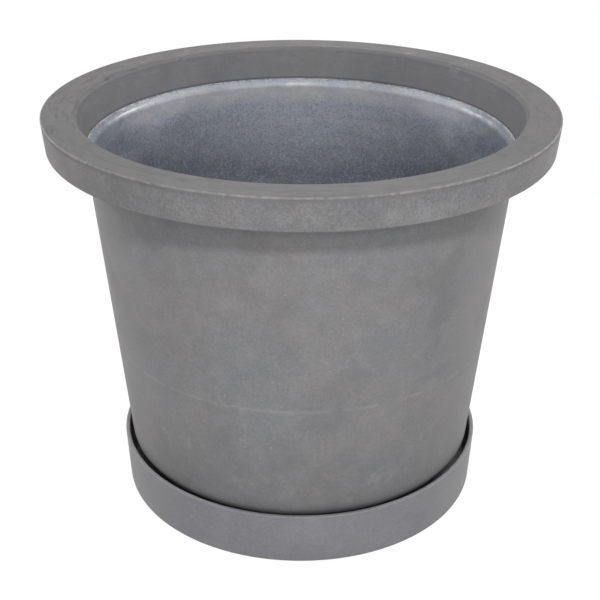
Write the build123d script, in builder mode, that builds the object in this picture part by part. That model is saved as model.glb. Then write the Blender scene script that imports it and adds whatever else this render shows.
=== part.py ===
from build123d import *
import os
from math import cos, hypot, radians, sin, tan

# Self watering planter: a heavy-rimmed round pot that stands on bosses in a deep saucer.
# The saucer is the water reservoir. A lift-out insert carries the wicking cups, the fill
# tube and the float gauge. +Z is up and the origin is the centre of the saucer's underside.

# Pot: outside sizes
overall_height = 414.1      # floor to the rim's top face
rim_radius = 254.0          # outer radius at the rim's top
rim_height = 31.9           # height of the rim's outer face
rim_width = 34.1            # radial width of the rim's top face
rim_draft = 3.1             # how far the rim's outer face leans in at its underside
rim_overhang = 36.4         # rim underside, from its outer edge to the body
body_taper = 5.47           # wall angle from vertical, degrees
skin = 4.0                  # rotomoulded wall of the pot
foot_fillet = 16.0          # rounding between the wall and the underside
foot_recess = 3.0           # the middle of the underside stands up by this much
foot_ring = 60.0            # radial width of the ring that stands on the bosses
rim_junction_fillet = 8.0   # rounding under the rim, where it meets the body
rim_top_inner_fillet = 5.0
rim_edge_fillet = 1.2
lip_drop = 34.7             # from the rim's top down to the trimmed edge inside
lip_inset = 6.7             # the trimmed edge stands this far inside the rim's top edge
lip_shoulder = 9.0          # rounding from the trimmed edge to the inner wall
vent_radius = 2.0           # air vent of the hollow rim
drain_radius = 6.0          # drain holes in the pot's floor
drain_count = 4
drain_land = 4.0            # from a drain hole to the raised middle's edge

# Saucer
saucer_height = 56.6
saucer_gap = 5.7            # pot to saucer wall, at the saucer's lip
saucer_wall = 3.0
saucer_draft = 4.2          # how much wider the saucer is at its lip than at its base
saucer_base_fillet = 4.5
saucer_recess = 2.5         # the middle of the floor stands up by this much
saucer_recess_land = 18.0   # from the raised middle to the bosses
boss_height = 45.5          # the pot's underside stands at this height
boss_count = 6
boss_land = 3.7             # from the pot's raised middle to the bosses' flat tops
boss_top_radius = 14.0
boss_base_radius = 22.0

# Overflow plug, through the back of the saucer
overflow_drop = 11.5        # hole's axis, below the pot's underside
overflow_radius = 8.0
overflow_pad_radius = 13.0
overflow_pad_proud = 1.5
plug_clearance = 0.1
seal_thickness = 2.0
seal_width = 4.5
plug_head_thickness = 4.0
plug_grip_height = 8.0
plug_grip_width = 5.0
plug_tail = 5.0             # how far the plug stands out inside the saucer

# Separator plate: the perforated false floor of the insert
leg_height = 18.0
leg_radius = 7.0
leg_bore = 4.5
leg_count = 8
plate_thickness = 3.0
plate_clearance = 2.0
plate_lip_height = 6.0
plate_lip_width = 2.5
hole_radius = 3.0           # perforations
hole_pitch = 15.0
hole_land = 4.0             # least material between a perforation and anything else

# Wicking cups
cup_count = 4
cup_land = 10.3             # from the cups to the edge of the pot's raised middle
cup_top_radius = 27.0
cup_bottom_radius = 21.0
cup_wall = 2.0
cup_flange_width = 6.0
cup_flange_thickness = 2.5
cup_floor_gap = 2.5         # cup bottom above the saucer's floor
cup_slot_count = 10
cup_slot_width = 4.0
cup_slot_height = 26.0

# Fill tube
tube_drop = 54.1            # rim's top down to the tube's mouth
tube_x = 45.0               # each tube stands this far from the middle
tube_inset = 54.3           # and this far inside the pot's foot, at the front
foot_clearance = 3.0        # between the saucer's floor and what hangs over it
fill_radius = 14.0
fill_wall = 2.0
shoulder_thickness = 3.0
shoulder_width = 5.0
nut_height = 8.0
nut_width = 6.0
strainer_overlap = 12.0     # how far the strainer reaches up around the tube
strainer_window = 17.0      # height of the slotted part
strainer_wall = 2.4
strainer_slot_count = 8
strainer_slot_width = 3.6

# Fill cap
collar_height = 14.0
collar_wall = 4.0
collar_lip = 2.0
bore_relief = 0.6           # the collar's and strainer's mouths are this much wider than the bore
flap_thickness = 2.6
flap_edge = 0.5             # the flap is this much smaller than its collar
flap_skirt_depth = 1.5
flap_skirt_wall = 1.4
flap_skirt_clearance = 0.5
tab_reach = 5.0
tab_width = 12.0
knuckle_radius = 3.2
knuckle_half_width = 3.8
knuckle_side_gap = 0.3
ear_width = 4.0
pin_radius = 1.5

# Float gauge
gauge_radius = 9.0
gauge_wall = 1.6
gauge_drop = 78.1           # rim's top down to the gauge tube's top
cage_radius = 17.0
cage_wall = 1.8
cage_floor = 2.5
cage_hub_height = 10.0
cage_hub_wall = 3.0
cage_slot_count = 6
cage_slot_width = 6.0
cage_slot_height = 28.0
float_height = 20.0
float_clearance = 1.2
float_top_gap = 3.0         # left above the float when it is fully up
float_chamfer = 2.0
rod_radius = 1.25
rod_socket = 14.0           # depth of the rod in the float
guide_height = 8.0
guide_flange = 1.5
tip_radius = 5.5
tip_height = 9.0
tip_gap = 1.0
gauge_cap_wall = 1.4
gauge_cap_skirt = 14.0

# Clip that ties the two tubes together
clip_drop = 126.1           # rim's top down to the clip's underside
clip_height = 12.0
clip_wall = 3.0
clip_web = 6.0

# Clearances
press_clearance = 0.03      # parts that are pressed together
running_clearance = 0.08    # pins and rods that turn or slide
passage_clearance = 2.0     # parts that pass through the pot's floor

# Levels and radii that follow from the sizes above
rim_bottom = overall_height - rim_height
slope = tan(radians(body_taper))


def body_radius(height):
    """Outer radius of the pot's tapered wall at a height."""
    return rim_radius - rim_draft - rim_overhang - slope * (rim_bottom - height)


def inner_radius(height):
    """Inner radius of the pot's wall at a height."""
    return body_radius(height) - skin / cos(radians(body_taper))


def cup_radius(height):
    """Outer radius of a wicking cup at a height."""
    share = (height - cup_bottom) / (plate_bottom - cup_bottom)
    return cup_bottom_radius + share * (cup_top_radius - cup_bottom_radius)


def upright(centre, angle=0.0):
    """Vertical plane through a point of the floor, its X axis pointing outwards."""
    across = (cos(radians(angle)), sin(radians(angle)), 0)
    normal = (sin(radians(angle)), -cos(radians(angle)), 0)
    return Plane(origin=(centre[0], centre[1], 0), x_dir=across, z_dir=normal)


def standing_axis(centre):
    """Vertical axis through a point of the floor."""
    return Axis((centre[0], centre[1], 0), (0, 0, 1))


def level(centre, height):
    """Level plane at a height, with its origin over a point of the floor."""
    return Plane(origin=(centre[0], centre[1], height))


def on_circle(radius, angle):
    """Point of the floor at a radius and an angle in degrees."""
    return (radius * cos(radians(angle)), radius * sin(radians(angle)))


rim_inner_radius = rim_radius - rim_width
lip_radius = rim_inner_radius - lip_inset
lip_level = overall_height - lip_drop
foot_radius = body_radius(boss_height)
recess_radius = foot_radius - foot_ring
pot_floor = boss_height + skin
saucer_lip_radius = body_radius(saucer_height) + saucer_gap + saucer_wall
saucer_base_radius = saucer_lip_radius - saucer_draft
saucer_floor = saucer_wall + saucer_recess
boss_circle = recess_radius + boss_land + boss_top_radius
saucer_recess_radius = boss_circle - boss_base_radius - saucer_recess_land
drain_circle = recess_radius - drain_land - drain_radius
overflow_height = boss_height - overflow_drop
plate_bottom = pot_floor + leg_height
plate_top = plate_bottom + plate_thickness
plate_radius = inner_radius(plate_bottom) - plate_clearance
leg_circle = inner_radius(pot_floor) - foot_fillet - leg_radius
cup_bottom = saucer_floor + cup_floor_gap
cup_circle = recess_radius - cup_land - cup_top_radius
cup_angles = [45 + 360 * number / cup_count for number in range(cup_count)]
cup_centres = [on_circle(cup_circle, angle) for angle in cup_angles]
tube_y = tube_inset - foot_radius
fill_centre = (-tube_x, tube_y)
gauge_centre = (tube_x, tube_y)
fill_bore = fill_radius - fill_wall
tube_top = overall_height - tube_drop
strainer_bottom = saucer_wall + foot_clearance
tube_foot = strainer_bottom + strainer_window
strainer_radius = fill_radius + strainer_wall
collar_top = tube_top + collar_lip
collar_radius = fill_radius + collar_wall
hinge_y = tube_y - collar_radius - knuckle_radius - 2 * knuckle_side_gap
hinge_z = collar_top + flap_thickness / 2
ear_inside = knuckle_half_width + knuckle_side_gap
ear_outside = ear_inside + ear_width
gauge_bore = gauge_radius - gauge_wall
gauge_top = overall_height - gauge_drop
cage_bottom = saucer_wall + foot_clearance
cage_bore = cage_radius - cage_wall
float_bottom = cage_bottom + cage_floor
float_radius = cage_bore - float_clearance
float_travel = plate_bottom - cage_hub_height - float_top_gap - float_height - float_bottom
guide_top = gauge_top + guide_flange
tip_bottom = guide_top + tip_gap
tip_top = tip_bottom + tip_height
gauge_cap_radius = gauge_radius + gauge_cap_wall
gauge_cap_ceiling = tip_top + float_travel + tip_gap
gauge_cap_top = gauge_cap_ceiling + gauge_cap_wall
clip_bottom = overall_height - clip_drop

os.makedirs("parts", exist_ok=True)

# Pot: one moulded skin, with a square hollow rim and a trimmed edge inside it
with BuildPart() as pot_shell:
    with BuildSketch(Plane.XZ):
        with BuildLine():
            recess_step = recess_radius + foot_recess
            FilletPolyline(
                (0, boss_height + foot_recess),
                (recess_radius, boss_height + foot_recess),
                (recess_step, boss_height),
                (foot_radius, boss_height),
                (body_radius(rim_bottom), rim_bottom),
                (rim_radius - rim_draft, rim_bottom),
                (rim_radius, overall_height),
                (rim_inner_radius, overall_height),
                (lip_radius, lip_level),
                (inner_radius(lip_level) + 0.2, lip_level - skin * 0.7),
                (inner_radius(pot_floor), pot_floor),
                (recess_step, pot_floor),
                (recess_radius, pot_floor + foot_recess),
                (0, pot_floor + foot_recess),
                radius=[0, 2, 2, foot_fillet, rim_junction_fillet, 2 * rim_edge_fillet, rim_edge_fillet,
                        rim_top_inner_fillet, 0, lip_shoulder, foot_fillet - skin, 2, 2, 0],
                close=True,
            )
        make_face()
    revolve(axis=Axis.Z)
    with BuildSketch(Plane.XZ):
        with BuildLine():
            FilletPolyline(
                (lip_radius + skin, rim_bottom + skin),
                (rim_radius - rim_draft - skin, rim_bottom + skin),
                (rim_radius - skin, overall_height - skin),
                (rim_inner_radius + skin, overall_height - skin),
                radius=skin,
                close=True,
            )
        make_face()
    revolve(axis=Axis.Z, mode=Mode.SUBTRACT)
    rim_middle = (rim_radius + rim_inner_radius) / 2
    with BuildSketch(level((0, rim_middle), rim_bottom)):
        Circle(vent_radius)
    extrude(amount=rim_height / 2, mode=Mode.SUBTRACT)
    with BuildSketch(Plane.XY.offset(boss_height)):
        with Locations(*cup_centres):
            Circle(cup_radius(pot_floor + foot_recess) + passage_clearance)
        with Locations(fill_centre):
            Circle(strainer_radius + passage_clearance)
        with Locations(gauge_centre):
            Circle(cage_radius + passage_clearance)
        with PolarLocations(drain_circle, drain_count, angular_range=180, endpoint=True):
            Circle(drain_radius)
        Circle(drain_radius)
    extrude(amount=skin + foot_recess, mode=Mode.SUBTRACT)
pot_shell.part.label = "pot_shell"
export_step(pot_shell.part, "parts/pot_shell.step")

# Saucer: the reservoir, with hollow bosses that hold the pot up out of the water
overflow_wall = saucer_base_radius + saucer_draft * overflow_height / saucer_height
pad_face = overflow_wall + overflow_pad_proud
pad_depth = saucer_wall + 2 * overflow_pad_proud
overflow_plane = Plane(origin=(0, pad_face, overflow_height), x_dir=(-1, 0, 0), z_dir=(0, 1, 0))
with BuildPart() as saucer:
    with BuildSketch(Plane.XZ):
        with BuildLine():
            floor_step = saucer_recess_radius + saucer_wall
            FilletPolyline(
                (0, saucer_recess),
                (saucer_recess_radius, saucer_recess),
                (floor_step, 0),
                (saucer_base_radius, 0),
                (saucer_lip_radius, saucer_height),
                (saucer_lip_radius - saucer_wall, saucer_height),
                (saucer_base_radius - saucer_wall, saucer_wall),
                (floor_step, saucer_wall),
                (saucer_recess_radius, saucer_floor),
                (0, saucer_floor),
                radius=[0, 2, 2, saucer_base_fillet, saucer_wall / 3, saucer_wall / 3,
                        saucer_base_fillet - saucer_wall, 2, 2, 0],
                close=True,
            )
        make_face()
    revolve(axis=Axis.Z)
    with PolarLocations(boss_circle, boss_count, start_angle=180 / boss_count):
        Cone(boss_base_radius, boss_top_radius, boss_height, align=(Align.CENTER, Align.CENTER, Align.MIN))
    boss_rims = saucer.edges().filter_by_position(Axis.Z, boss_height, boss_height)
    fillet(boss_rims, radius=saucer_wall / 2)
    with PolarLocations(boss_circle, boss_count, start_angle=180 / boss_count):
        Cone(
            boss_base_radius - saucer_wall,
            boss_top_radius - saucer_wall,
            boss_height - saucer_wall,
            align=(Align.CENTER, Align.CENTER, Align.MIN),
            mode=Mode.SUBTRACT,
        )
    with BuildSketch(overflow_plane):
        Circle(overflow_pad_radius)
    extrude(amount=-pad_depth)
    with BuildSketch(overflow_plane):
        Circle(overflow_radius)
    extrude(amount=-2 * pad_depth, mode=Mode.SUBTRACT)
saucer.part.label = "saucer"
export_step(saucer.part, "parts/saucer.step")

# Overflow seal: a flat rubber washer under the plug's head
with BuildPart() as overflow_seal:
    with BuildSketch(overflow_plane):
        Circle(overflow_radius + seal_width)
        Circle(overflow_radius - plug_clearance + press_clearance, mode=Mode.SUBTRACT)
    extrude(amount=seal_thickness)
overflow_seal.part.label = "overflow_seal"
export_step(overflow_seal.part, "parts/overflow_seal.step")

# Overflow plug: pulled out when the planter stands in the rain
with BuildPart() as overflow_plug:
    with BuildSketch(overflow_plane.offset(seal_thickness)):
        Circle(overflow_pad_radius)
    extrude(amount=plug_head_thickness)
    fillet(overflow_plug.edges().filter_by(GeomType.CIRCLE), radius=plug_head_thickness / 4)
    with BuildSketch(overflow_plane.offset(seal_thickness + plug_head_thickness)):
        SlotOverall(2 * overflow_pad_radius - plug_grip_width, plug_grip_width)
    extrude(amount=plug_grip_height)
    fillet(overflow_plug.faces().sort_by(Axis.Y)[-1].edges(), radius=plug_grip_width / 4)
    with BuildSketch(overflow_plane.offset(seal_thickness)):
        Circle(overflow_radius - plug_clearance)
    extrude(amount=-(seal_thickness + pad_depth + plug_tail))
    chamfer(overflow_plug.faces().sort_by(Axis.Y)[0].edges(), length=plug_tail / 3)
overflow_plug.part.label = "overflow_plug"
export_step(overflow_plug.part, "parts/overflow_plug.step")

# Separator plate: stands on legs on the pot's floor and carries the cups and both tubes
leg_angles = [90 + 360 * number / leg_count for number in range(leg_count)]
leg_centres = [on_circle(leg_circle, angle) for angle in leg_angles if angle != 270]
keep_clear = [(centre, cup_top_radius + cup_flange_width) for centre in cup_centres]
keep_clear += [(centre, leg_radius) for centre in leg_centres]
keep_clear += [(fill_centre, fill_radius + shoulder_width + nut_width)]
keep_clear += [(gauge_centre, cage_radius)]
perforations = []
ring_count = int((plate_radius - plate_lip_width - hole_land) / hole_pitch)
for ring in range(1, ring_count + 1):
    ring_radius = ring * hole_pitch
    for step in range(6 * ring):
        point = on_circle(ring_radius, step * 60 / ring)
        if all(hypot(point[0] - centre[0], point[1] - centre[1]) > reach + hole_radius + hole_land
               for centre, reach in keep_clear):
            perforations.append(point)
with BuildPart() as separator_plate:
    with BuildSketch(Plane.XY.offset(plate_bottom)):
        Circle(plate_radius)
    extrude(amount=plate_thickness)
    with BuildSketch(Plane.XY.offset(plate_top)):
        Circle(plate_radius)
        Circle(plate_radius - plate_lip_width, mode=Mode.SUBTRACT)
    extrude(amount=plate_lip_height)
    with BuildSketch(Plane.XY.offset(pot_floor)):
        with Locations(*leg_centres):
            Circle(leg_radius)
            Circle(leg_bore, mode=Mode.SUBTRACT)
    extrude(amount=leg_height)
    with BuildSketch(Plane.XY.offset(plate_bottom)):
        with Locations(*cup_centres):
            Circle(cup_top_radius + press_clearance)
        with Locations(fill_centre):
            Circle(fill_radius + press_clearance)
        with Locations(gauge_centre):
            Circle(gauge_radius + press_clearance)
        with Locations(*perforations):
            Circle(hole_radius)
    extrude(amount=plate_thickness, mode=Mode.SUBTRACT)
separator_plate.part.label = "separator_plate"
export_step(separator_plate.part, "parts/separator_plate.step")

# Wicking cups: slotted cups of compost that hang in the water and draw it up
cup_slot_middle = (cup_bottom + boss_height) / 2 + cup_wall
for number, centre in enumerate(cup_centres, start=1):
    with BuildPart() as wicking_cup:
        with BuildSketch(upright(centre)):
            with BuildLine():
                Polyline(
                    (0, cup_bottom),
                    (cup_bottom_radius, cup_bottom),
                    (cup_top_radius, plate_bottom),
                    (cup_top_radius, plate_top),
                    (cup_top_radius + cup_flange_width, plate_top),
                    (cup_top_radius + cup_flange_width, plate_top + cup_flange_thickness),
                    (cup_top_radius - cup_wall, plate_top + cup_flange_thickness),
                    (cup_top_radius - cup_wall, plate_bottom),
                    (cup_bottom_radius - cup_wall, cup_bottom + cup_wall),
                    (0, cup_bottom + cup_wall),
                    close=True,
                )
            make_face()
        revolve(axis=standing_axis(centre))
        for slot in range(cup_slot_count):
            with BuildSketch(upright(centre, 360 * slot / cup_slot_count).rotated((0, 90, 0))):
                with Locations((0, cup_slot_middle)):
                    SlotOverall(cup_slot_height, cup_slot_width, rotation=90)
            extrude(amount=cup_top_radius, mode=Mode.SUBTRACT)
        with BuildSketch(level(centre, cup_bottom)):
            with PolarLocations(cup_bottom_radius / 2, cup_slot_count // 2):
                Circle(cup_slot_width / 2)
        extrude(amount=cup_wall, mode=Mode.SUBTRACT)
    wicking_cup.part.label = f"wicking_cup_{number}"
    export_step(wicking_cup.part, f"parts/wicking_cup_{number}.step")

# Fill tube: leads water from above the compost down into the saucer
with BuildPart() as fill_tube:
    with BuildSketch(level(fill_centre, tube_foot)):
        Circle(fill_radius)
        Circle(fill_bore, mode=Mode.SUBTRACT)
    extrude(amount=tube_top - tube_foot)
    with BuildSketch(level(fill_centre, plate_top)):
        Circle(fill_radius + shoulder_width)
        Circle(fill_bore, mode=Mode.SUBTRACT)
    extrude(amount=shoulder_thickness)
fill_tube.part.label = "fill_tube"
export_step(fill_tube.part, "parts/fill_tube.step")

# Tube nut: clamps the separator plate against the fill tube's shoulder
with BuildPart() as fill_tube_nut:
    with BuildSketch(level(fill_centre, plate_bottom - nut_height)):
        RegularPolygon(fill_radius + nut_width, 6)
        Circle(fill_radius + press_clearance, mode=Mode.SUBTRACT)
    extrude(amount=nut_height)
fill_tube_nut.part.label = "fill_tube_nut"
export_step(fill_tube_nut.part, "parts/fill_tube_nut.step")

# Foot strainer: keeps roots and compost out of the fill tube
with BuildPart() as foot_strainer:
    with BuildSketch(upright(fill_centre)):
        with BuildLine():
            Polyline(
                (0, strainer_bottom),
                (strainer_radius, strainer_bottom),
                (strainer_radius, tube_foot + strainer_overlap),
                (fill_radius + press_clearance, tube_foot + strainer_overlap),
                (fill_radius + press_clearance, tube_foot),
                (fill_bore + bore_relief, tube_foot),
                (fill_bore + bore_relief, strainer_bottom + strainer_wall),
                (0, strainer_bottom + strainer_wall),
                close=True,
            )
        make_face()
    revolve(axis=standing_axis(fill_centre))
    window_middle = (strainer_bottom + strainer_wall + tube_foot) / 2
    for slot in range(strainer_slot_count):
        with BuildSketch(upright(fill_centre, 360 * slot / strainer_slot_count).rotated((0, 90, 0))):
            with Locations((0, window_middle)):
                SlotOverall(strainer_window - 2 * strainer_wall, strainer_slot_width, rotation=90)
        extrude(amount=strainer_radius + strainer_wall, mode=Mode.SUBTRACT)
foot_strainer.part.label = "foot_strainer"
export_step(foot_strainer.part, "parts/foot_strainer.step")

# Fill collar: pressed on the tube's mouth, with two ears for the flap's pin
with BuildPart() as fill_collar:
    with BuildSketch(level(fill_centre, collar_top - collar_height)):
        Circle(collar_radius)
    extrude(amount=collar_height)
    with BuildSketch(upright((fill_centre[0] - ear_outside, 0), 90)):
        with Locations((hinge_y, hinge_z)):
            Circle(knuckle_radius)
        with BuildLine():
            Polyline(
                (hinge_y - knuckle_radius, hinge_z),
                (hinge_y + knuckle_radius, hinge_z),
                (tube_y - fill_radius, collar_top - knuckle_radius),
                (tube_y - fill_radius, collar_top - collar_height + collar_lip),
                close=True,
            )
        make_face()
    extrude(amount=2 * ear_outside)
    with BuildSketch(level((fill_centre[0], hinge_y), collar_top - collar_height)):
        Rectangle(2 * ear_inside, 2 * (knuckle_radius + knuckle_side_gap))
    extrude(amount=2 * collar_height, mode=Mode.SUBTRACT)
    with BuildSketch(level(fill_centre, collar_top)):
        Circle(collar_radius + knuckle_side_gap)
        Rectangle(2 * ear_inside, 2 * (collar_radius + knuckle_radius))
    extrude(amount=knuckle_radius + flap_thickness, mode=Mode.SUBTRACT)
    with BuildSketch(level(fill_centre, collar_top - collar_height)):
        Circle(fill_radius + press_clearance)
    extrude(amount=collar_height - collar_lip, mode=Mode.SUBTRACT)
    with BuildSketch(level(fill_centre, tube_top)):
        Circle(fill_bore + bore_relief)
    extrude(amount=collar_lip, mode=Mode.SUBTRACT)
    with BuildSketch(upright((fill_centre[0] - 2 * ear_outside, 0), 90)):
        with Locations((hinge_y, hinge_z)):
            Circle(pin_radius + press_clearance)
    extrude(amount=4 * ear_outside, mode=Mode.SUBTRACT)
fill_collar.part.label = "fill_collar"
export_step(fill_collar.part, "parts/fill_collar.step")

# Fill flap: the hinged cover of the tube's mouth
with BuildPart() as fill_flap:
    with BuildSketch(level(fill_centre, collar_top)):
        Circle(collar_radius - flap_edge)
        with Locations((0, collar_radius - flap_edge)):
            RectangleRounded(tab_width, 2 * tab_reach, tab_reach / 2)
        with Locations((0, -(collar_radius + knuckle_radius) / 2)):
            Rectangle(2 * knuckle_half_width, collar_radius + knuckle_radius)
    extrude(amount=flap_thickness)
    with BuildSketch(level(fill_centre, collar_top)):
        Circle(fill_bore - flap_skirt_clearance)
        Circle(fill_bore - flap_skirt_clearance - flap_skirt_wall, mode=Mode.SUBTRACT)
    extrude(amount=-flap_skirt_depth)
    with BuildSketch(upright((fill_centre[0] - knuckle_half_width, 0), 90)):
        with Locations((hinge_y, hinge_z)):
            Circle(knuckle_radius)
    extrude(amount=2 * knuckle_half_width)
    with BuildSketch(upright((fill_centre[0] - 2 * knuckle_half_width, 0), 90)):
        with Locations((hinge_y, hinge_z)):
            Circle(pin_radius + running_clearance)
    extrude(amount=4 * knuckle_half_width, mode=Mode.SUBTRACT)
fill_flap.part.label = "fill_flap"
export_step(fill_flap.part, "parts/fill_flap.step")

# Flap pin
with BuildPart() as flap_pin:
    with BuildSketch(upright((fill_centre[0] - ear_outside, 0), 90)):
        with Locations((hinge_y, hinge_z)):
            Circle(pin_radius)
    extrude(amount=2 * ear_outside)
    chamfer(flap_pin.edges().filter_by(GeomType.CIRCLE), length=pin_radius / 4)
flap_pin.part.label = "flap_pin"
export_step(flap_pin.part, "parts/flap_pin.step")

# Float cage: slotted housing of the float, screwed to the gauge tube under the plate
with BuildPart() as float_cage:
    with BuildSketch(level(gauge_centre, cage_bottom)):
        Circle(cage_radius)
    extrude(amount=plate_bottom - cage_bottom)
    with BuildSketch(level(gauge_centre, float_bottom)):
        Circle(cage_bore)
    extrude(amount=plate_bottom - cage_hub_wall - float_bottom, mode=Mode.SUBTRACT)
    with BuildSketch(level(gauge_centre, plate_bottom - cage_hub_height)):
        Circle(gauge_radius + cage_hub_wall)
    extrude(amount=cage_hub_height)
    with BuildSketch(level(gauge_centre, cage_bottom)):
        Circle(gauge_radius / 2)
    extrude(amount=cage_floor, mode=Mode.SUBTRACT)
    with BuildSketch(level(gauge_centre, plate_bottom - cage_hub_height)):
        Circle(gauge_radius + press_clearance)
    extrude(amount=cage_hub_height, mode=Mode.SUBTRACT)
    for slot in range(cage_slot_count):
        with BuildSketch(upright(gauge_centre, 360 * slot / cage_slot_count).rotated((0, 90, 0))):
            with Locations((0, float_bottom + cage_hub_wall + cage_slot_height / 2)):
                SlotOverall(cage_slot_height, cage_slot_width, rotation=90)
        extrude(amount=cage_radius + cage_wall, mode=Mode.SUBTRACT)
float_cage.part.label = "float_cage"
export_step(float_cage.part, "parts/float_cage.step")

# Gauge tube: guides the float's rod up past the compost
with BuildPart() as gauge_tube:
    with BuildSketch(level(gauge_centre, plate_bottom - cage_hub_height)):
        Circle(gauge_radius)
        Circle(gauge_bore, mode=Mode.SUBTRACT)
    extrude(amount=gauge_top - plate_bottom + cage_hub_height)
    with BuildSketch(level(gauge_centre, plate_top)):
        Circle(gauge_radius + shoulder_width)
        Circle(gauge_bore, mode=Mode.SUBTRACT)
    extrude(amount=shoulder_thickness)
gauge_tube.part.label = "gauge_tube"
export_step(gauge_tube.part, "parts/gauge_tube.step")

# Rod guide: a bush in the gauge tube's top
with BuildPart() as rod_guide:
    with BuildSketch(level(gauge_centre, gauge_top - guide_height)):
        Circle(gauge_bore - press_clearance)
    extrude(amount=guide_height)
    with BuildSketch(level(gauge_centre, gauge_top)):
        Circle(gauge_radius)
    extrude(amount=guide_flange)
    with BuildSketch(level(gauge_centre, gauge_top - guide_height)):
        Circle(rod_radius + running_clearance)
    extrude(amount=guide_height + guide_flange, mode=Mode.SUBTRACT)
rod_guide.part.label = "rod_guide"
export_step(rod_guide.part, "parts/rod_guide.step")

# Gauge cap: clear cap that the marker rises into
with BuildPart() as gauge_cap:
    with BuildSketch(upright(gauge_centre)):
        with BuildLine():
            cap_bore = gauge_radius + press_clearance
            cap_foot = gauge_top - gauge_cap_skirt
            FilletPolyline(
                (0, gauge_cap_ceiling),
                (cap_bore, gauge_cap_ceiling),
                (cap_bore, cap_foot),
                (gauge_cap_radius, cap_foot),
                (gauge_cap_radius, gauge_cap_top),
                (0, gauge_cap_top),
                radius=[0, gauge_cap_wall, 0, 0, 2 * gauge_cap_wall, 0],
                close=True,
            )
        make_face()
    revolve(axis=standing_axis(gauge_centre))
gauge_cap.part.label = "gauge_cap"
export_step(gauge_cap.part, "parts/gauge_cap.step")

# Float: foamed block that follows the water
with BuildPart() as float_block:
    with BuildSketch(level(gauge_centre, float_bottom)):
        Circle(float_radius)
    extrude(amount=float_height)
    chamfer(float_block.edges().filter_by(GeomType.CIRCLE), length=float_chamfer)
    with BuildSketch(level(gauge_centre, float_bottom + float_height - rod_socket)):
        Circle(rod_radius + press_clearance)
    extrude(amount=rod_socket, mode=Mode.SUBTRACT)
float_block.part.label = "float_block"
export_step(float_block.part, "parts/float_block.step")

# Float rod
rod_bottom = float_bottom + float_height - rod_socket
rod_top = tip_top - tip_height / 3
with BuildPart() as float_rod:
    with BuildSketch(level(gauge_centre, rod_bottom)):
        Circle(rod_radius)
    extrude(amount=rod_top - rod_bottom)
float_rod.part.label = "float_rod"
export_step(float_rod.part, "parts/float_rod.step")

# Level marker: the coloured tip that shows in the clear cap
with BuildPart() as level_marker:
    with BuildSketch(level(gauge_centre, tip_bottom)):
        Circle(tip_radius)
    extrude(amount=tip_height)
    fillet(level_marker.edges().filter_by(GeomType.CIRCLE), radius=tip_height / 5)
    with BuildSketch(level(gauge_centre, tip_bottom)):
        Circle(rod_radius + press_clearance)
    extrude(amount=rod_top - tip_bottom, mode=Mode.SUBTRACT)
level_marker.part.label = "level_marker"
export_step(level_marker.part, "parts/level_marker.step")

# Tube clip: two rings and a web that keep the tubes parallel
with BuildPart() as tube_clip:
    with BuildSketch(level((0, tube_y), clip_bottom)):
        with Locations((-tube_x, 0)):
            Circle(fill_radius + clip_wall)
        with Locations((tube_x, 0)):
            Circle(gauge_radius + clip_wall)
        Rectangle(2 * tube_x, clip_web)
        with Locations((-tube_x, 0)):
            Circle(fill_radius + press_clearance, mode=Mode.SUBTRACT)
        with Locations((tube_x, 0)):
            Circle(gauge_radius + press_clearance, mode=Mode.SUBTRACT)
    extrude(amount=clip_height)
tube_clip.part.label = "tube_clip"
export_step(tube_clip.part, "parts/tube_clip.step")
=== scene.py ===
from math import cos, hypot, pi, radians, sin, tan

import bmesh
import bpy
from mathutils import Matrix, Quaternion, Vector


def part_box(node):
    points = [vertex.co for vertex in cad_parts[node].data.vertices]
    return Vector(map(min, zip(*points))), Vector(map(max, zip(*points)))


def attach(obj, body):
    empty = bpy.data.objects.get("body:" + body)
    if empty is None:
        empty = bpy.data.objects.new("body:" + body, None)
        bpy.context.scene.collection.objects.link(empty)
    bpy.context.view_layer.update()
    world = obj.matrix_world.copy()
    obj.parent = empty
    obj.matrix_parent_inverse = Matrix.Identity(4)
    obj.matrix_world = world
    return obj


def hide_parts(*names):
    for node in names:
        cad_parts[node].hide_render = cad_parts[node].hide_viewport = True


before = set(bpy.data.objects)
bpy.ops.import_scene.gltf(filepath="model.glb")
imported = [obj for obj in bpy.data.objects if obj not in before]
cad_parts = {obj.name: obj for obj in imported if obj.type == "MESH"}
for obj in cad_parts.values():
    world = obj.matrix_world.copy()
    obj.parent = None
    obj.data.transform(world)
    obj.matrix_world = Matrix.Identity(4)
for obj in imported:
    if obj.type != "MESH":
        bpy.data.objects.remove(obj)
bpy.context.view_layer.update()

mm = 0.001
same_place = 1e-6       # points closer than this are one point

# ---------------------------------------------------------------------------------------------
# Pot. One skin of polyethylene, rotomoulded in a heated mould: the mould side is sand-matte, the
# inside has the soft gloss of plastic that cooled in air. The square rim is hollow, and the
# mould's membrane across the mouth was cut out with a router, which left the rough edge inside.
# ---------------------------------------------------------------------------------------------
pot_low, pot_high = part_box("pot_shell")
rim_top = pot_high.z
pot_foot = pot_low.z
skin = 4.0 * mm
rim_radius = 254.0 * mm
rim_draft = 3.1 * mm
rim_underside = rim_top - 31.9 * mm
rim_inner_radius = rim_radius - 34.1 * mm
body_top_radius = rim_radius - rim_draft - 36.4 * mm
wall_slope = tan(radians(5.47))
lip_level = rim_top - 34.7 * mm
lip_radius = rim_inner_radius - 6.7 * mm
foot_ring = 60.0 * mm
foot_recess = 3.0 * mm


def wall_radius(height):
    """Outer radius of the pot's tapered wall at a height."""
    return body_top_radius - wall_slope * (rim_underside - height)


def select_points(test):
    """In edit mode, selects the vertices whose place passes the test, and nothing else."""
    bpy.ops.mesh.select_all(action="DESELECT")
    bpy.ops.mesh.select_mode(type="VERT")
    shape = bmesh.from_edit_mesh(bpy.context.edit_object.data)
    for point in shape.verts:
        point.select = test(point.co)
    shape.select_flush(True)
    bmesh.update_edit_mesh(bpy.context.edit_object.data)


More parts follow.
